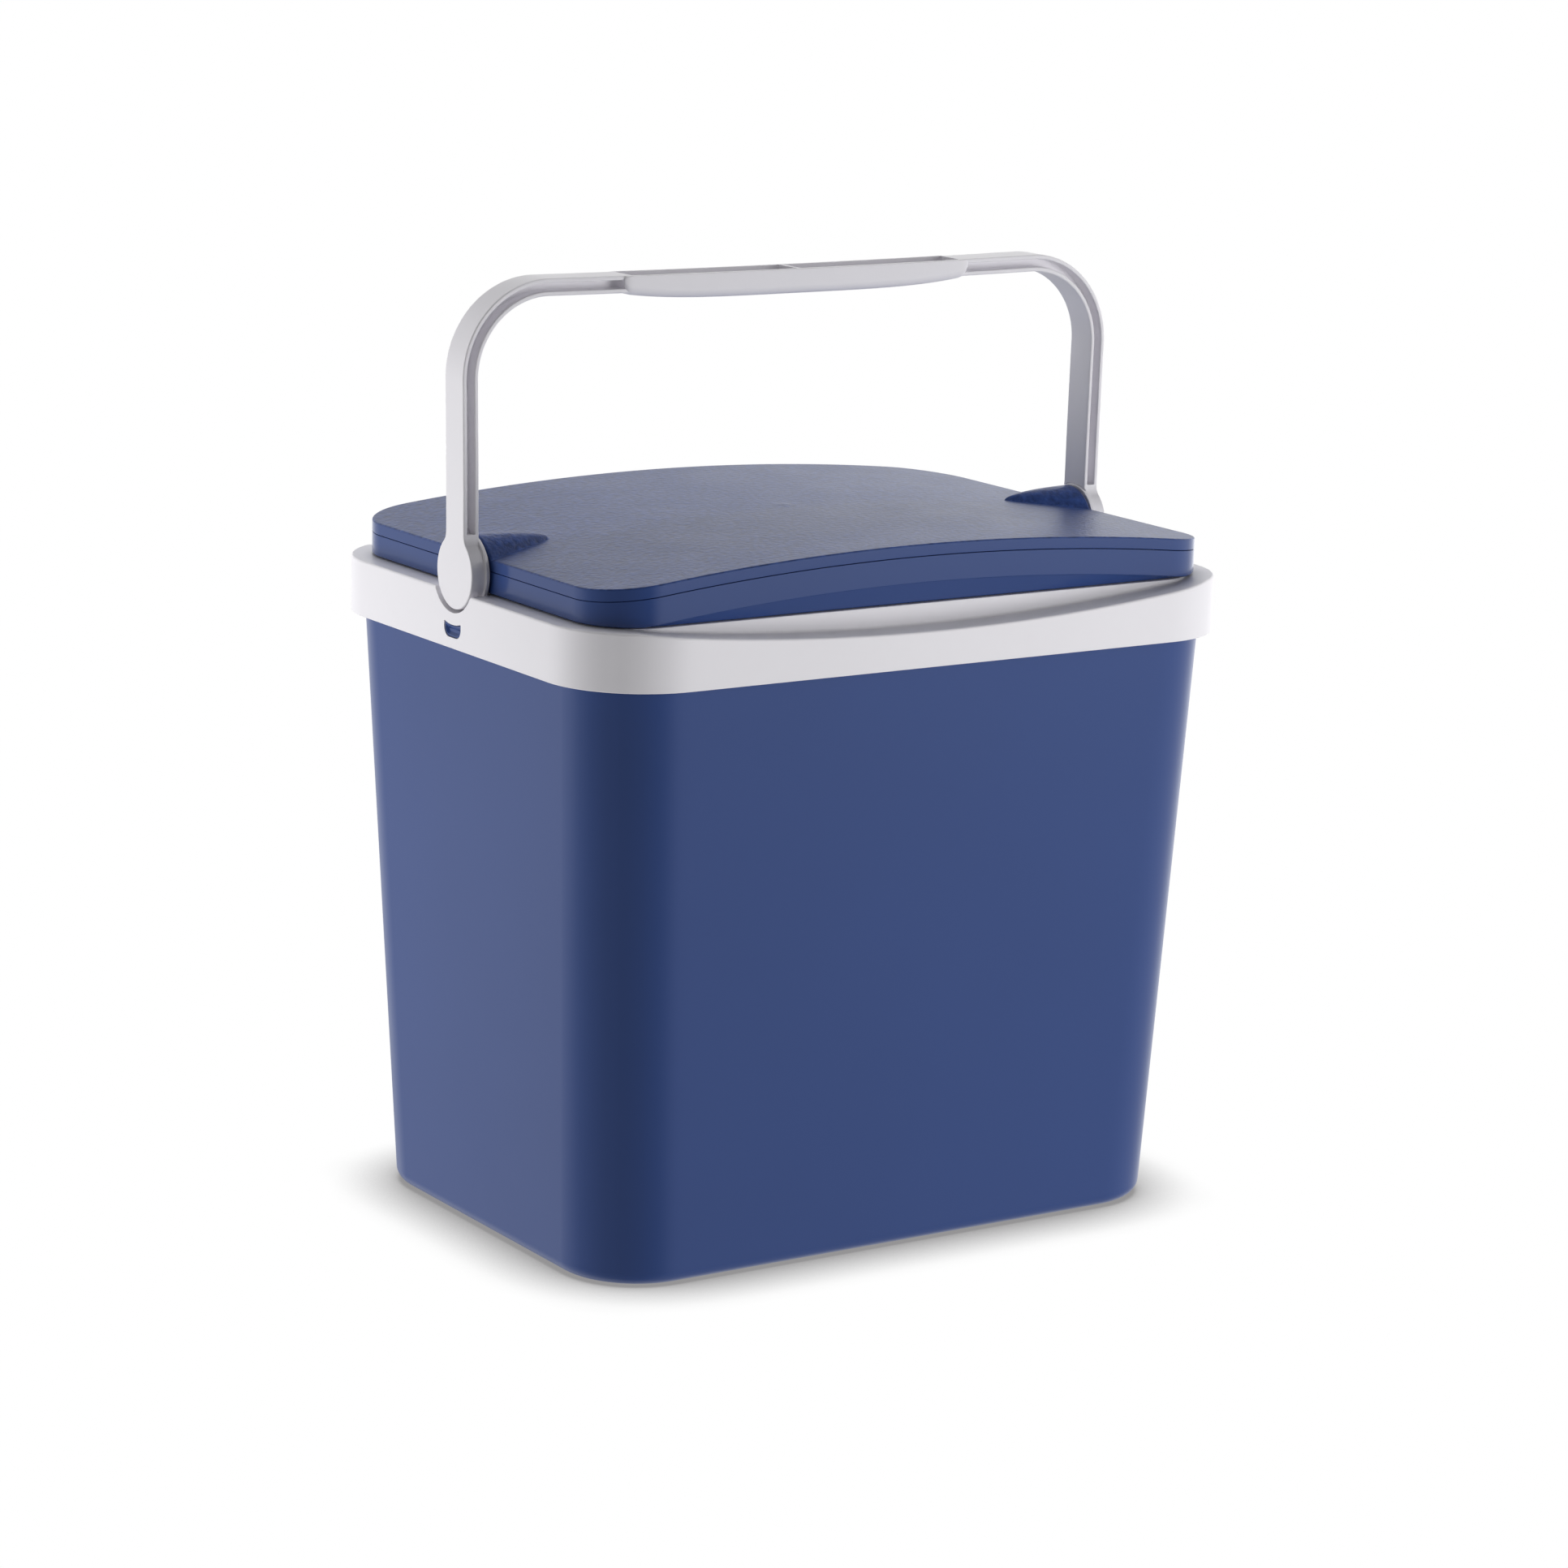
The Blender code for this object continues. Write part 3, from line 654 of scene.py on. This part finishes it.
def tray_shell():
    seam = LID_BAND + LID_SEAM
    floor = SEAT_Z + LID_WALL
    rings = []
    for inward, up in reversed(quarter(PLUG_EDGE, cuts=6)):
        rings.append(ring(inset(PLUG_PLAN, inward), PLUG_Z + up))
    rings.append(ring(PLUG_PLAN, SEAT_Z))
    rings.append(ring(inset(LID_PLAN, SKIRT_STEP + SKIRT_LEAN + SKIRT_EDGE), SEAT_Z))
    rings.append(ring(inset(LID_PLAN, SKIRT_STEP + SKIRT_LEAN), skirt_foot_level(SKIRT_EDGE)))
    rings.append(ring(inset(LID_PLAN, SKIRT_STEP), skirt_bottom))
    for inward, up in reversed(quarter(SKIRT_EDGE, cuts=3)):
        rings.append(ring(inset(LID_PLAN, inward), lambda x, up=up: skirt_bottom(x) + up))
    for inward, down in quarter(SEAM_EDGE, cuts=2):
        rings.append(ring(inset(LID_PLAN, inward), below_lid_top(seam + down)))
    rings += [
        ring(inset(LID_PLAN, LID_WALL), below_lid_top(seam)),
        ring(inset(LID_PLAN, LID_WALL), lambda x: skirt_bottom(x) + LID_WALL),
        ring(inset(LID_PLAN, SKIRT_STEP + LID_WALL), lambda x: skirt_bottom(x) + LID_WALL),
        ring(inset(LID_PLAN, SKIRT_STEP + SKIRT_LEAN + LID_WALL), floor),
        ring(inset(PLUG_PLAN, LID_WALL), floor),
        ring(inset(PLUG_PLAN, LID_WALL), PLUG_Z + LID_WALL),
    ]
    tray = skin("lid_tray_shell", rings)
    for side, label in ((-1, "left"), (1, "right")):
        combine(tray, lug_slot(f"tray_slot_{label}", side), "DIFFERENCE")
    return tray


def skirt_foot_level(edge):
    """Rounded foot of the stepped-back skirt, which vanishes where the skirt comes down to the seat."""
    return lambda x: min(SEAT_Z + edge, skirt_bottom(x))


# Pieces of the bail.


def arm_section():
    """H section as (distance outward, Y), rounded at the flanges and at the foot of each groove."""
    half, inner = ARM_THICK / 2, ARM_THICK / 2 - FLANGE
    quarter_turn = [
        (half, ARM_HALF_Y, DISC_EDGE),
        (inner, ARM_HALF_Y, FLANGE_LIP),
        (inner, WEB_HALF, GROOVE_ROOT),
        (-inner, WEB_HALF, GROOVE_ROOT),
        (-inner, ARM_HALF_Y, FLANGE_LIP),
        (-half, ARM_HALF_Y, DISC_EDGE),
    ]
    return rounded(quarter_turn + [(out, -y, radius) for out, y, radius in reversed(quarter_turn)])


def bail_path():
    """Centre line of the bail in the XZ plane, from the right foot over the top to the left."""
    foot_x = ARM_OUTER_X - ARM_THICK / 2
    bend = BAIL_BEND - ARM_THICK / 2
    top_z = BAIL_TOP_Z - ARM_THICK / 2
    shoulder_z = top_z - bend
    corner_x = foot_x + ARM_SPLAY - bend
    right = []
    for share in spaced(0.0, 1.0, ARM_CUTS):
        splay = ARM_SPLAY * share**SPLAY_POWER
        right.append((foot_x + splay, ARM_FOOT_Z + (shoulder_z - ARM_FOOT_Z) * share))
    for turn in spaced(0.0, math.pi / 2, BEND_CUTS):
        right.append((corner_x + bend * math.cos(turn), shoulder_z + bend * math.sin(turn)))
    for x in spaced(corner_x, 0.0, TOP_CUTS) + [0.0]:
        right.append((x, top_z - BAIL_BOW * (1 - (x / corner_x) ** 2)))
    return right + [(-x, z) for x, z in reversed(right[:-1])]


def arm_sweep():
    path, section = bail_path(), arm_section()
    sections = []
    for k, (x, z) in enumerate(path):
        before, after = path[max(k - 1, 0)], path[min(k + 1, len(path) - 1)]
        run_x, run_z = after[0] - before[0], after[1] - before[1]
        if k in (0, len(path) - 1):
            run_x = 0.0
        length = math.hypot(run_x, run_z)
        out_x, out_z = run_z / length, -run_x / length
        sections.append([(x + out * out_x, y, z + out * out_z) for out, y in section])
    return loft("bail_shell", sections)


def foot_outline(amount):
    """Disc and the flared end of the arm as (Y, Z) points, moved inward by an amount."""
    half_y, half_z, arm = DISC_HALF_Y - amount, DISC_HALF_Z - amount, ARM_HALF_Y - amount
    flare = FLARE + amount
    mean = (DISC_HALF_Y + DISC_HALF_Z) / 2 - amount
    centre_y = arm + flare
    centre_z = math.sqrt((mean + flare) ** 2 - centre_y**2)
    meet = math.atan2(centre_z, centre_y)
    right = []
    for turn in spaced(-math.pi / 2, meet, DISC_CUTS) + [meet]:
        right.append((half_y * math.cos(turn), half_z * math.sin(turn)))
    for turn in spaced(math.pi + meet, math.pi, FLARE_CUTS)[1:] + [math.pi]:
        right.append((centre_y + flare * math.cos(turn), centre_z + flare * math.sin(turn)))
    left = [(-y, z) for y, z in reversed(right[1:])]
    return [(y, PIVOT_Z + z) for y, z in right + left]


def foot(name, side):
    """Disc and flared foot of one arm, with rounded rims."""
    inner_x = ARM_OUTER_X - ARM_THICK
    sections = []
    for inward, down in reversed(quarter(DISC_EDGE)):
        sections.append([(side * (inner_x + down), y, z) for y, z in foot_outline(inward)])
    for inward, down in quarter(DISC_EDGE):
        sections.append([(side * (ARM_OUTER_X - down), y, z) for y, z in foot_outline(inward)])
    return loft(name, sections)


def hub(name, side):
    """Round flange on the inner face of the foot, next to the lug."""
    end_x = ARM_OUTER_X - ARM_THICK + FOOT_STEP + HUB_EDGE
    steps = [(HUB_X + down, HUB_RADIUS - inward) for inward, down in reversed(quarter(HUB_EDGE))]
    steps += [(end_x - HUB_EDGE, HUB_RADIUS), (end_x, HUB_RADIUS - HUB_EDGE)]
    return loft(name, [[(side * x, y, z) for y, z in oval(radius, radius)] for x, radius in steps])


def groove_scoop(name, side, front):
    """Small concave ramp where a groove of the arm runs out on the foot."""
    floor_z = max(z for y, z in foot_outline(0.0))
    root_y, root_z = WEB_HALF - SCOOP_ROOT, floor_z - SCOOP_ROOT
    profile = [(root_y, root_z), (root_y, floor_z + SCOOP)]
    profile += [(WEB_HALF + out, floor_z + up) for out, up in quarter(SCOOP, cuts=6)]
    profile.append((WEB_HALF + SCOOP, root_z))
    outer, inner = ARM_OUTER_X - SCOOP_ROOT, ARM_OUTER_X - ARM_THICK + SCOOP_ROOT
    return prism(name, [(front * y, z) for y, z in profile], inner * side, outer * side)


def grip():
    """Hand grip: a bar with a rounded underside, deepest in the middle, with rounded ends."""
    sections = []
    for station in range(GRIP_STATIONS + 1):
        x = GRIP_HALF * math.sin(math.pi * (station / GRIP_STATIONS - 0.5))
        past = max(abs(x) - (GRIP_HALF - GRIP_CORNER), 0.0)
        turned = GRIP_CORNER - math.sqrt(max(GRIP_CORNER**2 - past * past, 0.0))
        rise = GRIP_END_RISE * abs(x / GRIP_HALF) ** GRIP_BELLY_POWER
        bow = BAIL_BOW * (1 - (x / (ARM_OUTER_X - BAIL_BEND)) ** 2)
        bottom = GRIP_BOTTOM_Z + rise + turned * GRIP_END_CLOSING["below"]
        top = BAIL_TOP_Z - bow - turned * GRIP_END_CLOSING["above"]
        half = GRIP_HALF_Y - turned * GRIP_END_CLOSING["beside"]
        curl = min(GRIP_ROUND, GRIP_ROUND_LIMIT * (top - bottom))
        lower = [(half - inward, bottom + up) for inward, up in reversed(quarter(curl, cuts=6))]
        upper = [(half - inward, top - down) for inward, down in quarter(GRIP_EDGE, cuts=3)]
        half_section = lower + upper
        section = half_section + [(-y, z) for y, z in reversed(half_section)]
        sections.append([(x, y, z) for y, z in section])
    return loft("grip_bar", sections)


def groove_ends(name, side, front):
    """Cutter that carries a groove of the arm a little way into the grip's end."""
    middle = BAIL_TOP_Z - ARM_THICK / 2 - GROOVE_DROP
    half = ARM_THICK / 2 - FLANGE
    low_x, high_x = sorted((side * (GRIP_HALF - GROOVE_REACH), side * (GRIP_HALF + GROOVE_OVERLAP)))
    low_y, high_y = sorted((front * WEB_HALF, front * ARM_HALF_Y))
    return block(name, (low_x, low_y, middle - half), (high_x, high_y, middle + half))


def bail_shell():
    bail = arm_sweep()
    inner_x = ARM_OUTER_X - ARM_THICK
    step = oval(FOOT_STEP_RADIUS, FOOT_STEP_RADIUS)
    pin = oval(PIN_RADIUS, PIN_RADIUS, cuts=48)
    pin_root_x = inner_x + ARM_THICK / 3
    for side, label in ((-1, "left"), (1, "right")):
        combine(bail, foot(f"foot_{label}", side), "UNION")
        for front, face in ((-1, "front"), (1, "rear")):
            combine(bail, groove_scoop(f"scoop_{label}_{face}", side, front), "UNION")
        cut = prism(f"step_{label}", step, (inner_x - FOOT_STEP) * side, (inner_x + FOOT_STEP) * side)
        combine(bail, cut, "DIFFERENCE")
        combine(bail, hub(f"hub_{label}", side), "UNION")
        combine(bail, prism(f"pin_{label}", pin, PIN_END_X * side, pin_root_x * side), "UNION")
    combine(bail, grip(), "UNION")
    for side, label in ((-1, "left"), (1, "right")):
        low_x, high_x = sorted((RIB / 2 * side, POCKET_HALF * side))
        low = (low_x, -POCKET_HALF_Y, POCKET_FLOOR_Z)
        high = (high_x, POCKET_HALF_Y, BAIL_TOP_Z + ARM_THICK)
        combine(bail, block(f"pocket_{label}", low, high), "DIFFERENCE")
        for front, face in ((-1, "front"), (1, "rear")):
            combine(bail, groove_ends(f"groove_{label}_{face}", side, front), "DIFFERENCE")
    return bail


# Materials. Colours are linear RGB.

BLUE = (0.0295, 0.0655, 0.223)
NAVY = (0.030, 0.065, 0.225)
OFF_WHITE = (0.89, 0.875, 0.915)
BRIGHT_WHITE = (0.86, 0.87, 0.88)
FOAM_BEAD, FOAM_JOINT = (0.88, 0.88, 0.86, 1), (0.62, 0.62, 0.60, 1)
FOAM_ROUGHNESS = 0.85
FOAM_BEADS_PER_METRE = 300
FOAM_JOINT_SHARE = 0.12
FOAM_BUMP, FOAM_BUMP_STRENGTH = 0.3 * MM, 0.6
CLOUD_SCALE = 11
PATCH_SCALE = 30
GRAIN_FACTOR = 0.35
NOISE_ROUGHNESS = 0.55
TOP_TILT = 0.45


def add(tree, kind, inputs=None, **settings):
    """Adds a node, sets its properties, and links or sets its inputs."""
    node = tree.nodes.new(kind)
    for name, value in settings.items():
        setattr(node, name, value)
    for name, value in (inputs or {}).items():
        if isinstance(value, bpy.types.NodeSocket):
            tree.links.new(value, node.inputs[name])
        else:
            node.inputs[name].default_value = value
    return node


def noise(tree, place, scale, detail):
    settings = {"Vector": place, "Scale": scale, "Detail": detail, "Roughness": NOISE_ROUGHNESS}
    return add(tree, "ShaderNodeTexNoise", settings).outputs["Fac"]


def spread(tree, value, low, high, from_low=0.15, from_high=0.85):
    """Maps a value onto a range. Noise lies mostly within the default limits."""
    limits = {"From Min": from_low, "From Max": from_high, "To Min": low, "To Max": high}
    return add(tree, "ShaderNodeMapRange", {"Value": value, **limits}).outputs["Result"]


def moulded_plastic(name, colour, roughness, grain, depth, drift, fleck, polish):
    """Injection-moulded plastic.

    grain is the mould texture's size and depth its height. drift is the slow change of the colour and
    fleck the change at the size of the grain. polish is the patchy change of the roughness. Denoised
    renders show outlines where a roughness crosses 0.27, so every finish stays on one side of it.
    """
    material = bpy.data.materials.new(name)
    material.use_nodes = True
    tree = material.node_tree
    shader = tree.nodes["Principled BSDF"]
    place = add(tree, "ShaderNodeTexCoord").outputs["Object"]
    cloud = noise(tree, place, CLOUD_SCALE, 1)
    speck = noise(tree, place, GRAIN_FACTOR / grain, 2)
    patch = noise(tree, place, PATCH_SCALE, 1)
    reach = drift + fleck
    tone = add(tree, "ShaderNodeMix", {"A": spread(tree, cloud, 0, 1), "B": spread(tree, speck, 0, 1)})
    tone.inputs["Factor"].default_value = fleck / reach
    shade = add(tree, "ShaderNodeMix", data_type="RGBA")
    tree.links.new(tone.outputs["Result"], shade.inputs["Factor"])
    shade.inputs["A"].default_value = [part * (1 - reach) for part in colour] + [1]
    shade.inputs["B"].default_value = [part * (1 + reach) for part in colour] + [1]
    tree.links.new(shade.outputs["Result"], shader.inputs["Base Color"])
    gloss = spread(tree, patch, roughness - polish, roughness + polish)
    tree.links.new(gloss, shader.inputs["Roughness"])
    bump = add(tree, "ShaderNodeBump", {"Height": speck, "Strength": 1.0, "Distance": depth})
    tree.links.new(bump.outputs["Normal"], shader.inputs["Normal"])
    return material


def white_foam():
    """Expanded foam: pressed beads with dark joints."""
    material = bpy.data.materials.new("white_foam_beads")
    material.use_nodes = True
    tree = material.node_tree
    shader = tree.nodes["Principled BSDF"]
    place = add(tree, "ShaderNodeTexCoord").outputs["Object"]
    beads = add(tree, "ShaderNodeTexVoronoi", {"Vector": place}, feature="DISTANCE_TO_EDGE")
    beads.inputs["Scale"].default_value = FOAM_BEADS_PER_METRE
    joint = spread(tree, beads.outputs["Distance"], 0, 1, 0, FOAM_JOINT_SHARE)
    shade = add(tree, "ShaderNodeMix", data_type="RGBA")
    tree.links.new(joint, shade.inputs["Factor"])
    shade.inputs["A"].default_value = FOAM_JOINT
    shade.inputs["B"].default_value = FOAM_BEAD
    tree.links.new(shade.outputs["Result"], shader.inputs["Base Color"])
    settings = {"Height": joint, "Strength": FOAM_BUMP_STRENGTH, "Distance": FOAM_BUMP}
    bump = add(tree, "ShaderNodeBump", settings)
    tree.links.new(bump.outputs["Normal"], shader.inputs["Normal"])
    shader.inputs["Roughness"].default_value = FOAM_ROUGHNESS
    return material


def smooth_sides(cover, material):
    """Gives the cover's band and underside the smooth finish. Only its top is grained."""
    cover.data.materials.append(material)
    for face in cover.data.polygons:
        face.material_index = 0 if face.normal.z > TOP_TILT else 1


# Stage.

CAMERA_PLACE = (-1.3665, -2.09823, 0.78215)
CAMERA_TURN, CAMERA_DIP, CAMERA_ROLL = (math.radians(angle) for angle in (-33.157, 12.597, 1.418))
CAMERA_LENS = 109.79
CAMERA_SENSOR = 36

# Softboxes as (azimuth, distance, height, size, power), aimed at the middle of the chest.
SOFTBOXES = {
    "left_softbox": (-116, 0.9, 0.18, (0.5, 0.7), 4.4),
    "right_softbox": (34, 1.6, 0.22, (0.8, 1.0), 13),
    "rear_softbox": (175, 0.45, 1.7, (0.8, 0.8), 8),
}
AIM = Vector((0, 0, 0.25))

# Brightness of the surroundings by azimuth in degrees, as the glossy surfaces reflect it.
ROOM = [
    (-180, 1.0),
    (-165, 0.75),
    (-127, 0.64),
    (-114, 0.36),
    (-60, 0.16),
    (4, 0.15),
    (24, 0.92),
    (90, 0.9),
    (125, 1.7),
    (150, 1.0),
]

# Share of it that lights the matt surfaces.
ROOM_FILL = 0.65

# The surroundings dim towards the ceiling, and below the horizon on the right. The bands are of the
# upward part of the direction, and of the azimuth.
DIM_CEILING = 0.13
CEILING_BAND = (0.4, 0.7)
RIGHT_DIP = 0.45
DIP_BAND = (math.sin(math.radians(-22)), math.sin(math.radians(-10)))
DIP_TURN = (math.radians(-60), 0)

FLOOR_HALF = 4
FLOOR_TOP_Z = -0.4 * MM
FLOOR_THICKNESS = 10 * MM
FLOOR_BOUNCE = 0.5
# Painted contact shadow on the floor: ambient occlusion within this reach darkens the floor's colour
# through this ramp.
PAINTED_SHADOW_REACH = 52 * MM
PAINTED_SHADOW_SAMPLES = 16
PAINTED_SHADOW_RAMP = [(0.40, (0.30, 0.295, 0.30, 1)), (0.91, (1, 1, 1, 1))]
WHITE_LIGHT = (1, 1, 1, 1)


def camera():
    turn, dip = CAMERA_TURN, CAMERA_DIP
    back = Vector((math.sin(turn) * math.cos(dip), -math.cos(turn) * math.cos(dip), math.sin(dip)))
    level = Vector((math.cos(turn), math.sin(turn), 0))
    upright = back.cross(level)
    right = level * math.cos(CAMERA_ROLL) + upright * math.sin(CAMERA_ROLL)
    up = upright * math.cos(CAMERA_ROLL) - level * math.sin(CAMERA_ROLL)
    data = bpy.data.cameras.new("camera")
    data.sensor_width = CAMERA_SENSOR
    data.lens = CAMERA_LENS
    view = bpy.data.objects.new("camera", data)
    view.matrix_world = Matrix((right, up, back)).transposed().to_4x4()
    view.location = CAMERA_PLACE
    bpy.context.scene.collection.objects.link(view)
    bpy.context.scene.camera = view


def softbox(name, azimuth, distance, height, size, power):
    """Soft light at an azimuth round the chest. Azimuth 0 is in front, on the -Y side."""
    data = bpy.data.lights.new(name, "AREA")
    data.shape = "RECTANGLE"
    data.size, data.size_y = size
    data.energy = power
    light = bpy.data.objects.new(name, data)
    turn = math.radians(azimuth)
    light.location = (distance * math.sin(turn), -distance * math.cos(turn), height)
    light.rotation_euler = (AIM - light.location).to_track_quat("-Z", "Y").to_euler()
    light.visible_camera = False
    light.visible_glossy = False
    bpy.context.scene.collection.objects.link(light)


def arithmetic(tree, operation, first, second):
    return add(tree, "ShaderNodeMath", {0: first, 1: second}, operation=operation).outputs["Value"]


def studio():
    """White surroundings, dimmed as the constants above say, and the softboxes."""
    world = bpy.data.worlds.new("studio")
    bpy.context.scene.world = world
    world.use_nodes = True
    tree = world.node_tree
    tree.nodes.clear()
    direction = add(tree, "ShaderNodeTexCoord").outputs["Generated"]
    apart = add(tree, "ShaderNodeSeparateXYZ", {"Vector": direction}).outputs
    azimuth = arithmetic(tree, "ARCTAN2", apart["X"], arithmetic(tree, "MULTIPLY", apart["Y"], -1.0))
    ramp = add(tree, "ShaderNodeValToRGB", {"Fac": spread(tree, azimuth, 0, 1, -math.pi, math.pi)})
    stops = ramp.color_ramp.elements
    for number, (angle, level) in enumerate(ROOM):
        place = (angle + 180) / 360
        stop = stops[number] if number < 2 else stops.new(place)
        stop.position = place
        stop.color = (level, level, level, 1)
    dip = spread(tree, apart["Z"], 1 - RIGHT_DIP, 0, *DIP_BAND)
    fade = arithmetic(tree, "MULTIPLY", dip, spread(tree, azimuth, 0, 1, *DIP_TURN))
    ceiling = spread(tree, apart["Z"], 1, DIM_CEILING, *CEILING_BAND)
    rays = add(tree, "ShaderNodeLightPath").outputs
    fill = spread(tree, rays["Is Diffuse Ray"], 1, ROOM_FILL, 0, 1)
    strength = arithmetic(tree, "MULTIPLY", arithmetic(tree, "SUBTRACT", ceiling, fade), fill)
    room = add(tree, "ShaderNodeBackground", {"Color": ramp.outputs["Color"], "Strength": strength})
    seen = add(tree, "ShaderNodeBackground", {"Color": WHITE_LIGHT, "Strength": 1.0})
    parts = {0: rays["Is Camera Ray"], 1: room.outputs[0], 2: seen.outputs[0]}
    add(tree, "ShaderNodeOutputWorld", {"Surface": add(tree, "ShaderNodeMixShader", parts).outputs[0]})
    for name, settings in SOFTBOXES.items():
        softbox(name, *settings)


def floor():
    """Bright pale floor with a painted contact shadow: its colour darkens by ambient occlusion close to
    the chest, and to other rays it glows evenly.
    """
    low = (-FLOOR_HALF, -FLOOR_HALF, -FLOOR_THICKNESS)
    ground = block("floor", low, (FLOOR_HALF, FLOOR_HALF, FLOOR_TOP_Z))
    material = bpy.data.materials.new("pale_floor_painted_shadow")
    material.use_nodes = True
    tree = material.node_tree
    tree.nodes.clear()
    reach = {"Distance": PAINTED_SHADOW_REACH}
    # Painted shadow: the floor's emitted colour is darkened by ambient occlusion near the chest.
    painted_shadow = add(tree, "ShaderNodeAmbientOcclusion", reach, samples=PAINTED_SHADOW_SAMPLES).outputs["AO"]
    ramp = add(tree, "ShaderNodeValToRGB", {"Fac": painted_shadow})
    for stop, (place, colour) in zip(ramp.color_ramp.elements, PAINTED_SHADOW_RAMP):
        stop.position = place
        stop.color = colour
    seen = add(tree, "ShaderNodeEmission", {"Color": ramp.outputs["Color"], "Strength": 1.0})
    bounce = add(tree, "ShaderNodeEmission", {"Color": WHITE_LIGHT, "Strength": FLOOR_BOUNCE})
    rays = add(tree, "ShaderNodeLightPath").outputs["Is Camera Ray"]
    mix = add(tree, "ShaderNodeMixShader", {0: rays, 1: bounce.outputs[0], 2: seen.outputs[0]})
    add(tree, "ShaderNodeOutputMaterial", {"Surface": mix.outputs[0]})
    ground.data.materials.append(material)
    ground.visible_glossy = False
    ground.visible_shadow = False


def finishes():
    """The plastics: colour, roughness, grain, depth, drift, fleck and polish of each."""
    settings = {
        "tub_satin_blue": (BLUE, 0.305, 4 * MM, 0.012 * MM, 0.025, 0.005, 0.02),
        "lid_grained_blue": (NAVY, 0.37, 1.1 * MM, 0.4 * MM, 0.02, 0.6, 0.02),
        "lid_smooth_blue": (BLUE, 0.16, 4 * MM, 0.006 * MM, 0.025, 0.005, 0.02),
        "satin_off_white": (OFF_WHITE, 0.36, 3 * MM, 0.012 * MM, 0.015, 0.005, 0.03),
        "liner_smooth_white": (BRIGHT_WHITE, 0.31, 4 * MM, 0.012 * MM, 0.015, 0.005, 0.02),
    }
    return {name: moulded_plastic(name, *values) for name, values in settings.items()}


def build():
    plastics = finishes()
    body_blue, side_blue = plastics["tub_satin_blue"], plastics["lid_smooth_blue"]
    off_white, liner_white = plastics["satin_off_white"], plastics["liner_smooth_white"]
    foam = white_foam()
    finish_piece(tub_shell(), "chest", "outer_tub", body_blue)
    finish_piece(liner_shell(), "chest", "inner_liner", liner_white)
    collar = collar_shell()
    finish_piece(collar, "chest", "rim_collar", off_white, edge=COLLAR_EDGE)
    cover = cover_shell()
    finish_piece(cover, "lid", "lid_cover", plastics["lid_grained_blue"])
    smooth_sides(cover, side_blue)
    finish_piece(tray_shell(), "lid", "lid_tray", side_blue)
    finish_piece(bail_shell(), "bail", "bail_handle", off_white)
    for name, thing in frame["nodes"].items():
        if name.endswith(("foam", "foam_panel")):
            for slot in thing.material_slots:
                slot.material = foam


camera()
studio()
floor()
build()
bpy.context.scene.view_settings.view_transform = "Standard"
